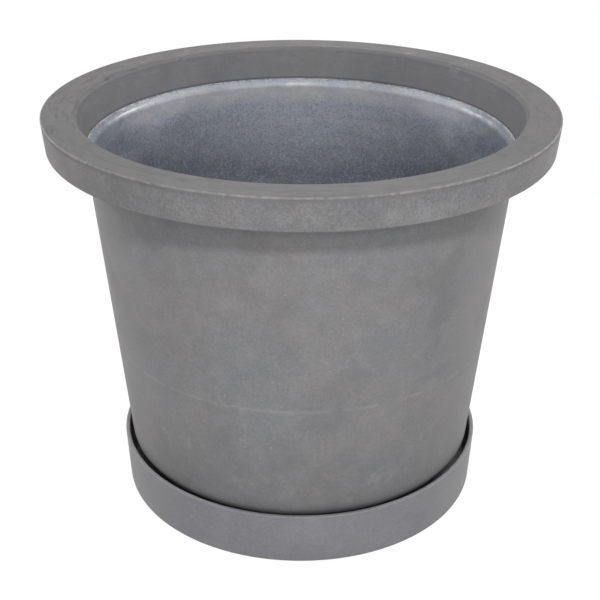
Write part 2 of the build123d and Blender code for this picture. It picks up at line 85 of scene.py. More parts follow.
def turned(name, outline, centre=(0.0, 0.0), steps=256, ring=False):
    """Draws an outline of (radius, height, rounding), rounds its corners and spins it upright.

    A ring's outline closes on itself. Any other outline starts and ends on the axis.
    """
    corners = [Vector((centre[0] + radius, centre[1], height)) for radius, height, rounding in outline]
    bpy.ops.object.select_all(action="DESELECT")
    bpy.ops.mesh.primitive_plane_add(size=skin, location=corners[0])
    piece = bpy.context.object
    piece.name = name
    bpy.ops.object.transform_apply(location=True, rotation=False, scale=False)
    bpy.ops.object.mode_set(mode="EDIT")
    bpy.ops.mesh.select_all(action="SELECT")
    bpy.ops.mesh.merge(type="CENTER")
    for start, end in zip(corners, corners[1:]):
        bpy.ops.mesh.extrude_region_move(TRANSFORM_OT_translate={"value": end - start})
    if ring:
        select_points(
            lambda place: min((place - corners[0]).length, (place - corners[-1]).length) < same_place
        )
        bpy.ops.mesh.edge_face_add()
    for number, (radius, height, rounding) in enumerate(outline):
        if rounding > 0:
            here = corners[number]
            before = (corners[number - 1] - here).normalized()
            after = (corners[(number + 1) % len(corners)] - here).normalized()
            turn = pi - before.angle(after)
            select_points(lambda place: (place - here).length < same_place)
            bpy.ops.mesh.bevel(
                offset_type="OFFSET",
                offset=rounding * tan(turn / 2),
                segments=max(3, round(turn * (3 + 0.6 * rounding / mm))),
                affect="VERTICES",
            )
    bpy.ops.mesh.select_all(action="SELECT")
    bpy.ops.mesh.spin(steps=steps, angle=2 * pi, center=(centre[0], centre[1], 0), axis=(0, 0, 1))
    bpy.ops.mesh.select_all(action="SELECT")
    bpy.ops.mesh.remove_doubles(threshold=0.00001)
    bpy.ops.mesh.normals_make_consistent(inside=False)
    bpy.ops.object.mode_set(mode="OBJECT")
    return piece


def combine(piece, tool, operation):
    """Joins a tool to a piece or cuts it out of the piece, and removes the tool."""
    bpy.ops.object.select_all(action="DESELECT")
    bpy.context.view_layer.objects.active = piece
    piece.select_set(True)
    change = piece.modifiers.new(operation.title(), "BOOLEAN")
    change.operation = operation
    change.object = tool
    change.solver = "EXACT"
    bpy.ops.object.modifier_apply(modifier=change.name)
    bpy.data.objects.remove(tool)


def rod(name, centre, radius, low, high, sides=64):
    """A plain upright bar, used as a drill or a start."""
    bpy.ops.object.select_all(action="DESELECT")
    bpy.ops.mesh.primitive_cylinder_add(
        vertices=sides, radius=radius, depth=high - low, location=(*centre, (low + high) / 2)
    )
    bpy.context.object.name = name
    bpy.ops.object.transform_apply(location=True, rotation=True, scale=True)
    return bpy.context.object


def joined(pieces):
    """Makes one object of several."""
    bpy.ops.object.select_all(action="DESELECT")
    for piece in pieces:
        piece.select_set(True)
    bpy.context.view_layer.objects.active = pieces[0]
    if len(pieces) > 1:
        bpy.ops.object.join()
    return pieces[0]


def smooth(piece, angle=30):
    """Shades a piece smooth, keeps the edges sharper than an angle, and keeps flat faces flat."""
    bpy.ops.object.select_all(action="DESELECT")
    bpy.context.view_layer.objects.active = piece
    piece.select_set(True)
    bpy.ops.object.shade_smooth_by_angle(angle=radians(angle))
    flats = piece.modifiers.new("Flats", "WEIGHTED_NORMAL")
    flats.keep_sharp = True
    bpy.ops.object.modifier_apply(modifier=flats.name)


def on_circle(radius, angle):
    """Point of the floor at a radius and an angle in degrees."""
    return (radius * cos(radians(angle)), radius * sin(radians(angle)))


recess_radius = wall_radius(pot_foot) - foot_ring
cut_width = 1.3 * mm        # the router's cut, rough and pale
crease_depth = 0.7 * mm     # the seam where the membrane met the inner wall
bead_radius = lip_radius - 6.4 * mm
floor_level = pot_foot + skin
pot = turned(
    "pot",
    [
        (0, pot_foot + foot_recess, 0),
        (recess_radius, pot_foot + foot_recess, 2 * mm),
        (recess_radius + foot_recess, pot_foot, 2 * mm),
        (wall_radius(pot_foot), pot_foot, 16 * mm),
        (wall_radius(rim_underside), rim_underside, 8 * mm),
        (rim_radius - rim_draft, rim_underside, 2.4 * mm),
        (rim_radius, rim_top, 1.2 * mm),
        (rim_inner_radius, rim_top, 5 * mm),
        (lip_radius, lip_level, 0),
        (lip_radius - cut_width, lip_level - 0.2 * mm, 0),
        (lip_radius - cut_width - 0.3 * mm, lip_level - crease_depth - 0.6 * mm, 0),
        (lip_radius - cut_width - 0.7 * mm, lip_level - 0.8 * mm, 0.3 * mm),
        (bead_radius, lip_level - 5 * mm, 9 * mm),
        (bead_radius - 0.4 * mm, lip_level - 18 * mm, 14 * mm),
        (wall_radius(lip_level - 44 * mm) - skin, lip_level - 44 * mm, 60 * mm),
        (wall_radius(floor_level) - skin, floor_level, 12 * mm),
        (recess_radius + foot_recess, floor_level, 2 * mm),
        (recess_radius, floor_level + foot_recess, 2 * mm),
        (0, floor_level + foot_recess, 0),
    ],
)

# The router's cut is uneven, and the mould side of the lip has small nicks.
bpy.context.view_layer.objects.active = pot
bpy.ops.object.mode_set(mode="EDIT")
select_points(
    lambda place: abs(place.z - lip_level + 0.5 * mm) < 1.2 * mm
    and lip_radius - 2.4 * mm < hypot(place.x, place.y) < lip_radius + 0.3 * mm
)
bpy.ops.transform.vertex_random(offset=0.28 * mm, uniform=0.3, normal=0.0, seed=11)
bpy.ops.object.mode_set(mode="OBJECT")

# Holes in the floor: four for the wicking cups, two for the tubes' feet, five small drains.
cup_circle = recess_radius - 37.3 * mm
cup_places = [on_circle(cup_circle, angle) for angle in (45, 135, 225, 315)]
tube_foot_low, tube_foot_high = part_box("foot_strainer")
cage_low, cage_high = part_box("float_cage")
fill_place = ((tube_foot_low.x + tube_foot_high.x) / 2, (tube_foot_low.y + tube_foot_high.y) / 2)
gauge_place = ((cage_low.x + cage_high.x) / 2, (cage_low.y + cage_high.y) / 2)
drain_circle = recess_radius - 10 * mm
floor_holes = [(place, 27.6 * mm) for place in cup_places]
floor_holes += [(fill_place, 18.4 * mm), (gauge_place, 19.0 * mm)]
floor_holes += [(on_circle(drain_circle, angle), 6 * mm) for angle in (0, 60, 120, 180)]
floor_holes += [((0, 0), 6 * mm)]
drills = [
    rod("drill", place, radius, pot_foot - skin, floor_level + 2 * skin, sides=48)
    for place, radius in floor_holes
]
combine(pot, joined(drills), "DIFFERENCE")
# One small vent in the underside of the hollow rim, at the back.
rim_middle = (rim_radius + rim_inner_radius) / 2
vent = rod("drill", (0, rim_middle), 2 * mm, rim_underside - skin, rim_underside + skin, sides=24)
combine(pot, vent, "DIFFERENCE")
smooth(pot, 35)


def linear(colour):
    """Turns an sRGB hex colour into the linear colour that a node takes."""
    channels = [int(colour[start:start + 2], 16) / 255 for start in (1, 3, 5)]
    return [c / 12.92 if c <= 0.04045 else ((c + 0.055) / 1.055) ** 2.4 for c in channels] + [1.0]


from_colour, to_colour = 6, 7        # the sockets of a Mix node that mixes colours


def add(material, kind, inputs=None, output=None, **settings):
    """Adds a node to a material or world, with its settings, and sets or links its inputs.

    It returns the output that is asked for, or else the first one that the settings leave in use.
    """
    node = material.node_tree.nodes.new(kind)
    for name, value in settings.items():
        setattr(node, name, value)
    for name, value in (inputs or {}).items():
        if isinstance(value, bpy.types.NodeSocket):
            material.node_tree.links.new(value, node.inputs[name])
        else:
            node.inputs[name].default_value = value
    if output is None:
        return next(socket for socket in node.outputs if socket.enabled)
    return node.outputs[output]


def new_material(name):
    """A material with only its shader and output, and the shader node."""
    material = bpy.data.materials.new(name)
    material.use_nodes = True
    shader = material.node_tree.nodes["Principled BSDF"]
    return material, shader


def band(material, value, middle, width):
    """1 where a value lies within a width of a middle, falling softly to 0 beyond it."""
    away = add(material, "ShaderNodeMath", {0: value, 1: middle}, operation="SUBTRACT")
    size = add(material, "ShaderNodeMath", {0: away}, operation="ABSOLUTE")
    return add(
        material, "ShaderNodeMapRange",
        {"Value": size, "From Min": width * 0.4, "From Max": width, "To Min": 1.0, "To Max": 0.0},
        interpolation_type="SMOOTHSTEP",
    )


def patches(material, place, size, start, full, detail=2.0, roughness=0.5):
    """Random soft patches of about a size: 0 where the noise is at start, 1 where it is at full."""
    noise = add(
        material, "ShaderNodeTexNoise",
        {"Vector": place, "Scale": 1 / size, "Detail": detail, "Roughness": roughness},
    )
    return add(material, "ShaderNodeMapRange", {"Value": noise, "From Min": start, "From Max": full})


def tinted(material, under, colour, *masks):
    """Lays a colour over what is under it, where all the masks allow it. A mask may be a number."""
    share = masks[0]
    for mask in masks[1:]:
        share = add(material, "ShaderNodeMath", {0: share, 1: mask}, operation="MULTIPLY")
    return add(
        material, "ShaderNodeMix", {0: share, from_colour: under, to_colour: linear(colour)},
        data_type="RGBA",
    )


def polar(material, place):
    """Radius, height and angle of each point, for patterns that run round the axis."""
    parts = add(material, "ShaderNodeSeparateXYZ", {0: place}).node
    flat = add(material, "ShaderNodeCombineXYZ", {0: parts.outputs[0], 1: parts.outputs[1]})
    radius = add(material, "ShaderNodeVectorMath", {0: flat}, operation="LENGTH")
    angle = add(
        material, "ShaderNodeMath", {0: parts.outputs[1], 1: parts.outputs[0]}, operation="ARCTAN2"
    )
    return radius, parts.outputs[2], angle


def moulded_polyethylene(name, warm, cool, light, speckle):
    """Rotomoulded polyethylene, mould side: a sand-blasted mould leaves it matte. Cloudy patches,
    a fine sandy grain and sparse pale grains keep it from looking like a smooth new plastic."""
    material, shader = new_material(name)
    place = add(material, "ShaderNodeTexCoord", output="Object")
    radius, height, angle = polar(material, place)
    tone_patches = patches(material, place, 75 * mm, 0.38, 0.62, detail=3.0, roughness=0.55)
    tone = tinted(material, linear(cool), warm, tone_patches)
    clouds = patches(material, place, 20 * mm, 0.46, 0.68, detail=4.0, roughness=0.62)
    clouded = tinted(material, tone, light, clouds, 0.34)
    grain = add(
        material, "ShaderNodeTexNoise",
        {"Vector": place, "Scale": 1 / (2.3 * mm), "Detail": 3.0, "Roughness": 0.85},
    )
    dark_grain_share = add(
        material, "ShaderNodeMapRange",
        {"Value": grain, "From Min": 0.5, "From Max": 0.3, "To Max": 0.34 * speckle},
    )
    dark_grain = tinted(material, clouded, "#5f5e60", dark_grain_share)
    pale_grain_share = add(
        material, "ShaderNodeMapRange",
        {"Value": grain, "From Min": 0.5, "From Max": 0.7, "To Max": 0.5 * speckle},
    )
    pale_grain = tinted(material, dark_grain, light, pale_grain_share)
    # Sparse pale grains: a random few of the cells of a 2.7 mm pattern hold one.
    cells = add(
        material, "ShaderNodeTexVoronoi", {"Vector": place, "Scale": 1 / (2.7 * mm), "Randomness": 1.0}
    ).node
    chosen = add(material, "ShaderNodeSeparateColor", {"Color": cells.outputs["Color"]})
    grain_centres = add(
        material, "ShaderNodeMapRange",
        {"Value": cells.outputs["Distance"], "From Min": 0.36, "From Max": 0.16},
    )
    flecked = tinted(
        material, pale_grain, "#c0bfbf", grain_centres,
        add(material, "ShaderNodeMapRange", {"Value": chosen, "From Min": 0.93, "From Max": 1.0}), 0.4,
    )
    return material, shader, place, radius, height, angle, flecked, grain, clouds, clouded


mould_side, shader, place, radius, height, angle, tone, grain, clouds, clouded = moulded_polyethylene(
    "Polyethylene, rotomoulded, sand-matte mould side", "#828080", "#7d7e81", "#979698", 0.8
)
on_rim = add(
    mould_side, "ShaderNodeMapRange",
    {"Value": height, "From Min": rim_underside - 2 * mm, "From Max": rim_underside + 3 * mm},
)

# The rim is handled most: rubbed cloudy patches on its face, and dark smears that run round its top.
rubbed = patches(mould_side, place, 34 * mm, 0.47, 0.66, detail=4.0, roughness=0.55)
shadowy = patches(mould_side, place, 55 * mm, 0.56, 0.4, detail=3.0, roughness=0.6)
dulled = tinted(mould_side, tone, "#6d6b6c", shadowy, on_rim, 0.3)
rub = tinted(mould_side, dulled, "#9b9a9a", rubbed, on_rim, 0.32)
coarse = add(
    mould_side, "ShaderNodeTexNoise",
    {"Vector": place, "Scale": 1 / (2.2 * mm), "Detail": 3.0, "Roughness": 0.85},
)
pits_share = add(mould_side, "ShaderNodeMapRange", {"Value": coarse, "From Min": 0.5, "From Max": 0.34})
pits = tinted(mould_side, rub, "#5c5b5c", pits_share, on_rim, 0.45)
rough_rim_share = add(
    mould_side, "ShaderNodeMapRange", {"Value": coarse, "From Min": 0.52, "From Max": 0.7}
)
rough_rim = tinted(mould_side, pits, "#a9a8a8", rough_rim_share, on_rim, 0.36)
way_round = add(mould_side, "ShaderNodeMath", {0: angle, 1: 3.4}, operation="MULTIPLY")
way_out = add(mould_side, "ShaderNodeMath", {0: radius, 1: 70.0}, operation="MULTIPLY")
way_up = add(mould_side, "ShaderNodeMath", {0: height, 1: 70.0}, operation="MULTIPLY")
round_way = add(mould_side, "ShaderNodeCombineXYZ", {0: way_round, 1: way_out, 2: way_up})
smears_noise = add(
    mould_side, "ShaderNodeTexNoise",
    {"Vector": round_way, "Scale": 2.2, "Detail": 5.0, "Roughness": 0.6, "Distortion": 1.2},
)
smears = add(
    mould_side, "ShaderNodeMapRange", {"Value": smears_noise, "From Min": 0.48, "From Max": 0.64}
)
on_top = add(
    mould_side, "ShaderNodeMapRange",
    {"Value": height, "From Min": rim_top - 6 * mm, "From Max": rim_top - 1 * mm},
)
# The rim's top and inner face were polished by hands and tools, so little of the grain is left there.
inside_rim = add(
    mould_side, "ShaderNodeMapRange",
    {"Value": radius, "From Min": rim_inner_radius + 3 * mm, "From Max": rim_inner_radius + 1 * mm},
)
above_lip = add(
    mould_side, "ShaderNodeMapRange",
    {"Value": height, "From Min": lip_level - 1 * mm, "From Max": lip_level},
)
inside_top = add(mould_side, "ShaderNodeMath", {0: inside_rim, 1: above_lip}, operation="MULTIPLY")
polished = add(mould_side, "ShaderNodeMath", {0: on_top, 1: inside_top}, operation="MAXIMUM")
rubbed_smooth_share = add(mould_side, "ShaderNodeMath", {0: polished, 1: 0.65}, operation="MULTIPLY")
rubbed_smooth = add(
    mould_side, "ShaderNodeMix", {0: rubbed_smooth_share, from_colour: rough_rim, to_colour: clouded},
    data_type="RGBA",
)
around = add(mould_side, "ShaderNodeMath", {0: angle}, operation="ABSOLUTE")
facing_front = add(mould_side, "ShaderNodeMath", {0: around, 1: radians(90)}, operation="SUBTRACT")
sideways = add(mould_side, "ShaderNodeMath", {0: facing_front}, operation="ABSOLUTE")
handled = add(
    mould_side, "ShaderNodeMapRange",
    {"Value": around, "From Min": radians(100), "From Max": radians(160), "To Min": 0.45},
)
# The rim's top is darkened all round, more towards the sides than at the front.
top_darkening = add(
    mould_side, "ShaderNodeMapRange",
    {
        "Value": sideways, "From Min": radians(10), "From Max": radians(60), "To Min": 0.44,
        "To Max": 0.7,
    },
)
top_darkened = tinted(mould_side, rubbed_smooth, "#5f5d5c", on_top, top_darkening)
smeared = tinted(mould_side, top_darkened, "#565352", smears, on_top, handled)
from_back = add(mould_side, "ShaderNodeMath", {0: angle, 1: radians(90)}, operation="SUBTRACT")
off_back = add(mould_side, "ShaderNodeMath", {0: from_back}, operation="ABSOLUTE")
within_rim = add(
    mould_side, "ShaderNodeMapRange",
    {"Value": radius, "From Min": rim_inner_radius + 1 * mm, "From Max": rim_inner_radius - 1 * mm},
)
over_lip = add(
    mould_side, "ShaderNodeMapRange",
    {"Value": height, "From Min": lip_level - 1 * mm, "From Max": lip_level},
)
shade_level = add(
    mould_side, "ShaderNodeMapRange",
    {
        "Value": off_back, "From Min": radians(8), "From Max": radians(60), "To Min": 0.15,
        "To Max": 0.55,
    },
)
shaded_face = tinted(mould_side, smeared, "#606065", within_rim, over_lip, shade_level)
over_face_foot = add(
    mould_side, "ShaderNodeMapRange",
    {"Value": height, "From Min": rim_top - 26 * mm, "From Max": rim_top - 10 * mm},
)
under_face_top = add(
    mould_side, "ShaderNodeMapRange",
    {"Value": height, "From Min": rim_top - 5 * mm, "From Max": rim_top - 10 * mm},
)
streaked_face = tinted(
    mould_side, shaded_face, "#8b8989", smears, polished, over_face_foot, under_face_top, 0.3
)
# Tools dragged over the rim left short pale scratches, most of them on the side where it is filled.
scratch_round = add(mould_side, "ShaderNodeMath", {0: angle, 1: 5.0}, operation="MULTIPLY")
scratch_out = add(mould_side, "ShaderNodeMath", {0: radius, 1: 150.0}, operation="MULTIPLY")
scratch_up = add(mould_side, "ShaderNodeMath", {0: height, 1: 150.0}, operation="MULTIPLY")
scratch_way = add(mould_side, "ShaderNodeCombineXYZ", {0: scratch_round, 1: scratch_out, 2: scratch_up})
scratch_noise = add(
    mould_side, "ShaderNodeTexNoise",
    {"Vector": scratch_way, "Scale": 2.0, "Detail": 4.0, "Roughness": 0.7, "Distortion": 2.0},
)
scratch_lines = add(
    mould_side, "ShaderNodeMapRange", {"Value": scratch_noise, "From Min": 0.54, "From Max": 0.64}
)
scratch_patches = patches(mould_side, place, 45 * mm, 0.5, 0.62)
near_rim_top = add(
    mould_side, "ShaderNodeMapRange",
    {"Value": height, "From Min": rim_top - 12 * mm, "From Max": rim_top - 3 * mm},
)
near_back = add(
    mould_side, "ShaderNodeMapRange",
    {"Value": off_back, "From Min": radians(70), "From Max": radians(50)},
)
scratched = tinted(
    mould_side, streaked_face, "#a5a29f", scratch_lines, scratch_patches, near_rim_top, near_back, 0.6
)
# A thin pale line along the rim's outer top edge, broken in places: wear, and a painted highlight on
# the rounded edge.
edge_break_noise = add(
    mould_side, "ShaderNodeTexNoise", {"Vector": place, "Scale": 1 / (5 * mm), "Detail": 3.0}
)
edge_break = add(
    mould_side, "ShaderNodeMapRange",
    {"Value": edge_break_noise, "From Min": 0.35, "From Max": 0.6, "To Min": 0.2},
)
edge = band(mould_side, radius, rim_radius - 0.5 * mm, 1.5 * mm)
worn_and_highlit = tinted(
    mould_side, scratched, "#adaba9", edge, band(mould_side, height, rim_top - 0.5 * mm, 1.5 * mm),
    edge_break, 0.55,
)

# Low on the wall, a faint pale ring where the mould's halves meet, and below it the wall grows darker
# towards the foot.
seam_break = patches(mould_side, place, 30 * mm, 0.42, 0.62, detail=4.0, roughness=0.65)
seam = band(mould_side, height, pot_foot + 132 * mm, 2.6 * mm)
# A dark line is painted just above the router's cut, inside the rim: painted shade of the narrow crease
# there.
lined = tinted(
    mould_side, worn_and_highlit, "#47474b", inside_rim, band(mould_side, height, lip_level + 0.9 * mm, 1.9 * mm),
    0.6,
)
seamed = tinted(mould_side, lined, "#a3a09e", seam, seam_break, 0.32)
# Handling leaves large soft darker clouds on the wall, and dry soil leaves pale smudges low on it.
handling = patches(mould_side, place, 62 * mm, 0.5, 0.68, detail=5.0, roughness=0.62)
clouded_wall = tinted(mould_side, seamed, "#646266", handling, 0.34)
smudge_patches = patches(mould_side, place, 26 * mm, 0.54, 0.68, detail=6.0, roughness=0.72)
low_on_wall = add(
    mould_side, "ShaderNodeMapRange",
    {"Value": height, "From Min": pot_foot + 150 * mm, "From Max": pot_foot + 40 * mm},
)
smudged = tinted(mould_side, clouded_wall, "#a3a1a0", smudge_patches, low_on_wall, 0.4)
# Two stretches of the rim, at the front left and the front right, are darkened.
right_patch = band(mould_side, angle, radians(-33), radians(15))
left_patch = band(mould_side, angle, radians(-138), radians(34))
left_darkened = tinted(mould_side, smudged, "#5f5e5f", left_patch, on_rim, 0.34)
rim_stretches_darkened = tinted(mould_side, left_darkened, "#5f5e5f", right_patch, on_rim, 0.22)
# Darker towards the foot, up to a wavy edge.
foot_edge_noise = add(
    mould_side, "ShaderNodeTexNoise", {"Vector": place, "Scale": 1 / (60 * mm), "Detail": 3.0}
)
foot_edge_wave = add(mould_side, "ShaderNodeMath", {0: foot_edge_noise, 1: 60 * mm}, operation="MULTIPLY")
darkening_edge = add(mould_side, "ShaderNodeMath", {0: height, 1: foot_edge_wave}, operation="SUBTRACT")
foot_darkening = add(
    mould_side, "ShaderNodeMapRange",
    {
        "Value": darkening_edge, "From Min": pot_foot + 90 * mm, "From Max": pot_foot - 25 * mm,
        "To Max": 0.46,
    },
)
darkened_foot = tinted(mould_side, rim_stretches_darkened, "#5e5e61", foot_darkening)
# The sides, left and right, are a warmer, drier grey than the front and the back.
unpolished = add(mould_side, "ShaderNodeMath", {0: 1.0, 1: polished}, operation="SUBTRACT")
on_sides = add(
    mould_side, "ShaderNodeMapRange",
    {"Value": sideways, "From Min": radians(40), "From Max": radians(75)},
)
finish = tinted(mould_side, darkened_foot, "#85807d", on_sides, unpolished, 0.5)
mould_side.node_tree.links.new(finish, shader.inputs["Base Color"])
roughness = add(
    mould_side, "ShaderNodeMapRange",
    {"Value": clouds, "From Min": 0.0, "From Max": 1.0, "To Min": 0.58, "To Max": 0.7},
)
mould_side.node_tree.links.new(roughness, shader.inputs["Roughness"])
shader.inputs["IOR"].default_value = 1.5
shader.inputs["Specular IOR Level"].default_value = 0.4
sand = add(mould_side, "ShaderNodeBump", {"Height": grain, "Strength": 0.5, "Distance": 0.5 * mm})
mould_side.node_tree.links.new(sand, shader.inputs["Normal"])

# Inside: the air side of the skin, semi-gloss and blue-grey, with a fine dark and pale speckle. Painted
# shade darkens it deeper down, at the ends, and in painted rim shadows towards the sides. The rounded
# shoulder under the rim is where the skin is glossiest; it is painted paler there as a highlight, most
# at the back, and paler again in patches that are partly scuffs and partly painted highlight.
air_side, shader = new_material("Polyethylene, rotomoulded, glossy air side")
place = add(air_side, "ShaderNodeTexCoord", output="Object")
radius, height, angle = polar(air_side, place)
tone_patches = patches(air_side, place, 38 * mm, 0.38, 0.62, detail=3.0, roughness=0.6)
# Lit and shaded copies of the blue-grey: between them runs the painted shade.
lit_tone = tinted(air_side, linear("#a2a8b5"), "#a8abb4", tone_patches)
shaded_tone = tinted(air_side, linear("#696f7a"), "#6f727a", tone_patches)
depth = add(
    air_side, "ShaderNodeMapRange",
    {"Value": height, "From Min": lip_level - 24 * mm, "From Max": lip_level - 110 * mm},
)
from_back = add(air_side, "ShaderNodeMath", {0: angle, 1: radians(90)}, operation="SUBTRACT")
away_from_back = add(air_side, "ShaderNodeMath", {0: from_back}, operation="ABSOLUTE")
drift = add(
    air_side, "ShaderNodeMapRange",
    {
        "Value": height, "From Min": lip_level - 10 * mm, "From Max": lip_level - 100 * mm,
        "To Min": radians(0), "To Max": radians(13),
    },
)
# Painted rim shadow towards the sides: its edge moves outwards deeper down.
edge_of_painted_shadow = add(air_side, "ShaderNodeMath", {0: away_from_back, 1: drift}, operation="SUBTRACT")
below = add(
    air_side, "ShaderNodeMapRange",
    {"Value": height, "From Min": lip_level - 12 * mm, "From Max": lip_level - 45 * mm},
)
within_painted_shadow = add(
    air_side, "ShaderNodeMapRange",
    {"Value": edge_of_painted_shadow, "From Min": radians(60), "From Max": radians(55)},
)
off_middle = add(
    air_side, "ShaderNodeMapRange",
    {"Value": away_from_back, "From Min": radians(10), "From Max": radians(42)},
)
sides = within_painted_shadow
for mask in (off_middle, below, 0.3):
    sides = add(air_side, "ShaderNodeMath", {0: sides, 1: mask}, operation="MULTIPLY")
# The ends are painted darker as shade.
at_ends = add(
    air_side, "ShaderNodeMapRange",
    {"Value": away_from_back, "From Min": radians(52), "From Max": radians(68)},
)
ends = add(air_side, "ShaderNodeMath", {0: at_ends, 1: 0.9}, operation="MULTIPLY")
side_and_end_shade = add(air_side, "ShaderNodeMath", {0: sides, 1: ends})
painted_shade = add(air_side, "ShaderNodeMath", {0: depth, 1: side_and_end_shade}, use_clamp=True)
tint = add(
    air_side, "ShaderNodeMix", {0: painted_shade, from_colour: lit_tone, to_colour: shaded_tone}, data_type="RGBA"
)
speckle = add(
    air_side, "ShaderNodeTexNoise",
    {"Vector": place, "Scale": 1 / (2.4 * mm), "Detail": 3.0, "Roughness": 0.9},
)
dark_specks_share = add(
    air_side, "ShaderNodeMapRange", {"Value": speckle, "From Min": 0.5, "From Max": 0.32, "To Max": 0.6}
)
dark_specks = tinted(air_side, tint, "#50535d", dark_specks_share)
specked_share = add(
    air_side, "ShaderNodeMapRange", {"Value": speckle, "From Min": 0.52, "From Max": 0.7, "To Max": 0.6}
)
specked = tinted(air_side, dark_specks, "#b3b6c0", specked_share)
over_shoulder_foot = add(
    air_side, "ShaderNodeMapRange",
    {"Value": height, "From Min": lip_level - 27 * mm, "From Max": lip_level - 16 * mm},
)
under_shoulder_top = add(
    air_side, "ShaderNodeMapRange",
    {"Value": height, "From Min": lip_level - 2 * mm, "From Max": lip_level - 6 * mm},
)
shoulder_at_back = add(
    air_side, "ShaderNodeMapRange",
    {"Value": away_from_back, "From Min": radians(78), "From Max": radians(45), "To Min": 0.1},
)
on_shoulder = over_shoulder_foot
for mask in (under_shoulder_top, shoulder_at_back):
    on_shoulder = add(air_side, "ShaderNodeMath", {0: on_shoulder, 1: mask}, operation="MULTIPLY")
scuffs = patches(air_side, place, 18 * mm, 0.44, 0.6, detail=4.0, roughness=0.7)
# The shoulder is painted paler as a highlight, most at the back, then paler again in patches that are
# partly scuffs and partly painted highlight.
highlit_shoulder = tinted(air_side, specked, "#b3b5b9", on_shoulder, 0.5)
scuffed = tinted(air_side, highlit_shoulder, "#bcbcbd", on_shoulder, scuffs, 0.5)
air_side.node_tree.links.new(scuffed, shader.inputs["Base Color"])
roughness_noise = add(
    air_side, "ShaderNodeTexNoise", {"Vector": place, "Scale": 1 / (14 * mm), "Detail": 3.0}
)
roughness = add(
    air_side, "ShaderNodeMapRange",
    {"Value": roughness_noise, "From Min": 0.35, "From Max": 0.65, "To Min": 0.38, "To Max": 0.54},
)
air_side.node_tree.links.new(roughness, shader.inputs["Roughness"])
shader.inputs["IOR"].default_value = 1.5
coat_noise = add(
    air_side, "ShaderNodeTexNoise",
    {"Vector": place, "Scale": 1 / (40 * mm), "Detail": 3.0, "Roughness": 0.6},
)
coat = add(
    air_side, "ShaderNodeMapRange",
    {"Value": coat_noise, "From Min": 0.44, "From Max": 0.6, "To Max": 0.5},
)
air_side.node_tree.links.new(coat, shader.inputs["Coat Weight"])
shader.inputs["Coat Roughness"].default_value = 0.32
waves_noise = add(air_side, "ShaderNodeTexNoise", {"Vector": place, "Scale": 1 / (26 * mm)})
waves = add(air_side, "ShaderNodeBump", {"Height": waves_noise, "Strength": 0.6, "Distance": 4 * mm})
peel = add(
    air_side, "ShaderNodeBump",
    {"Height": speckle, "Strength": 0.35, "Distance": 0.5 * mm, "Normal": waves},
)
air_side.node_tree.links.new(peel, shader.inputs["Normal"])

# The router's cut: bare plastic, torn and pale.
cut_edge, shader = new_material("Polyethylene, router-cut")
place = add(cut_edge, "ShaderNodeTexCoord", output="Object")
torn = patches(cut_edge, place, 4 * mm, 0.35, 0.65, detail=4.0, roughness=0.7)
colour = tinted(cut_edge, linear("#77777a"), "#c4c4c7", torn)
cut_edge.node_tree.links.new(colour, shader.inputs["Base Color"])
shader.inputs["Roughness"].default_value = 0.5
tear = add(cut_edge, "ShaderNodeBump", {"Height": torn, "Strength": 0.6, "Distance": 0.4 * mm})
cut_edge.node_tree.links.new(tear, shader.inputs["Normal"])

for material in (mould_side, air_side, cut_edge):
    pot.data.materials.append(material)
glossy_finish, cut_finish = 1, 2        # places of the air side and the cut edge in that list
for face in pot.data.polygons:
    face_radius = hypot(face.center.x, face.center.y)
    inward = face.normal.x * face.center.x + face.normal.y * face.center.y < -1e-6
    upward_floor = face.normal.z > 0.5 and face.center.z < floor_level + 5 * mm
    at_cut_level = abs(face.center.z - lip_level + 0.7 * mm) < 0.9 * mm
    if at_cut_level and lip_radius - 2.1 * mm < face_radius < lip_radius + 0.2 * mm:
        face.material_index = cut_finish
    elif floor_level - 1 * mm < face.center.z < lip_level and face_radius < lip_radius:
        if inward or upward_floor or face.center.z > lip_level - 8 * mm:
            face.material_index = glossy_finish
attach(pot, "pot")
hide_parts("pot_shell")

# ---------------------------------------------------------------------------------------------
# Saucer. A thin rotomoulded tray of the same plastic, a little cooler in colour. Six hollow
# bosses of its floor hold the pot up, so that the saucer can hold water under it.
# ---------------------------------------------------------------------------------------------
saucer_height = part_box("saucer")[1].z
saucer_wall = 3.0 * mm
saucer_lip_radius = wall_radius(saucer_height) + 5.7 * mm + saucer_wall
saucer_base_radius = saucer_lip_radius - 3.0 * mm
lip_bead = 1.3 * mm          # the lip is rolled inwards by this much
saucer_recess = 2.5 * mm
boss_circle = recess_radius + 17.7 * mm
boss_base_radius = 22 * mm
boss_top_radius = 14 * mm
boss_slope = (boss_base_radius - boss_top_radius) / (pot_foot - saucer_wall)
apron_radius = boss_circle - boss_base_radius - 18 * mm
saucer = turned(
    "saucer_tray",
    [
        (0, saucer_recess, 0),
        (apron_radius, saucer_recess, 2 * mm),
        (apron_radius + saucer_wall, 0, 2 * mm),
        (saucer_base_radius, 0, 3.5 * mm),
        (saucer_lip_radius, saucer_height, 1 * mm),
        (saucer_lip_radius - saucer_wall - lip_bead, saucer_height, 1.4 * mm),
        (saucer_lip_radius - saucer_wall - lip_bead, saucer_height - 4 * mm, 1 * mm),
        (saucer_lip_radius - saucer_wall - 0.6 * mm, saucer_height - 8 * mm, 4 * mm),
        (saucer_base_radius - saucer_wall, saucer_wall, 1.5 * mm),
        (apron_radius + saucer_wall, saucer_wall, 2 * mm),
        (apron_radius, saucer_wall + saucer_recess, 2 * mm),
        (0, saucer_wall + saucer_recess, 0),
    ],
)
boss_places = [on_circle(boss_circle, 30 + 60 * number) for number in range(6)]
bosses = [
    turned(
        "boss",
        [
            (0, saucer_wall / 2, 0),
            (boss_base_radius + boss_slope * saucer_wall / 2, saucer_wall / 2, 0),
            (boss_top_radius, pot_foot, 3 * mm),
            (0, pot_foot, 0),
        ],
        centre=place, steps=48,
    )
    for place in boss_places
]
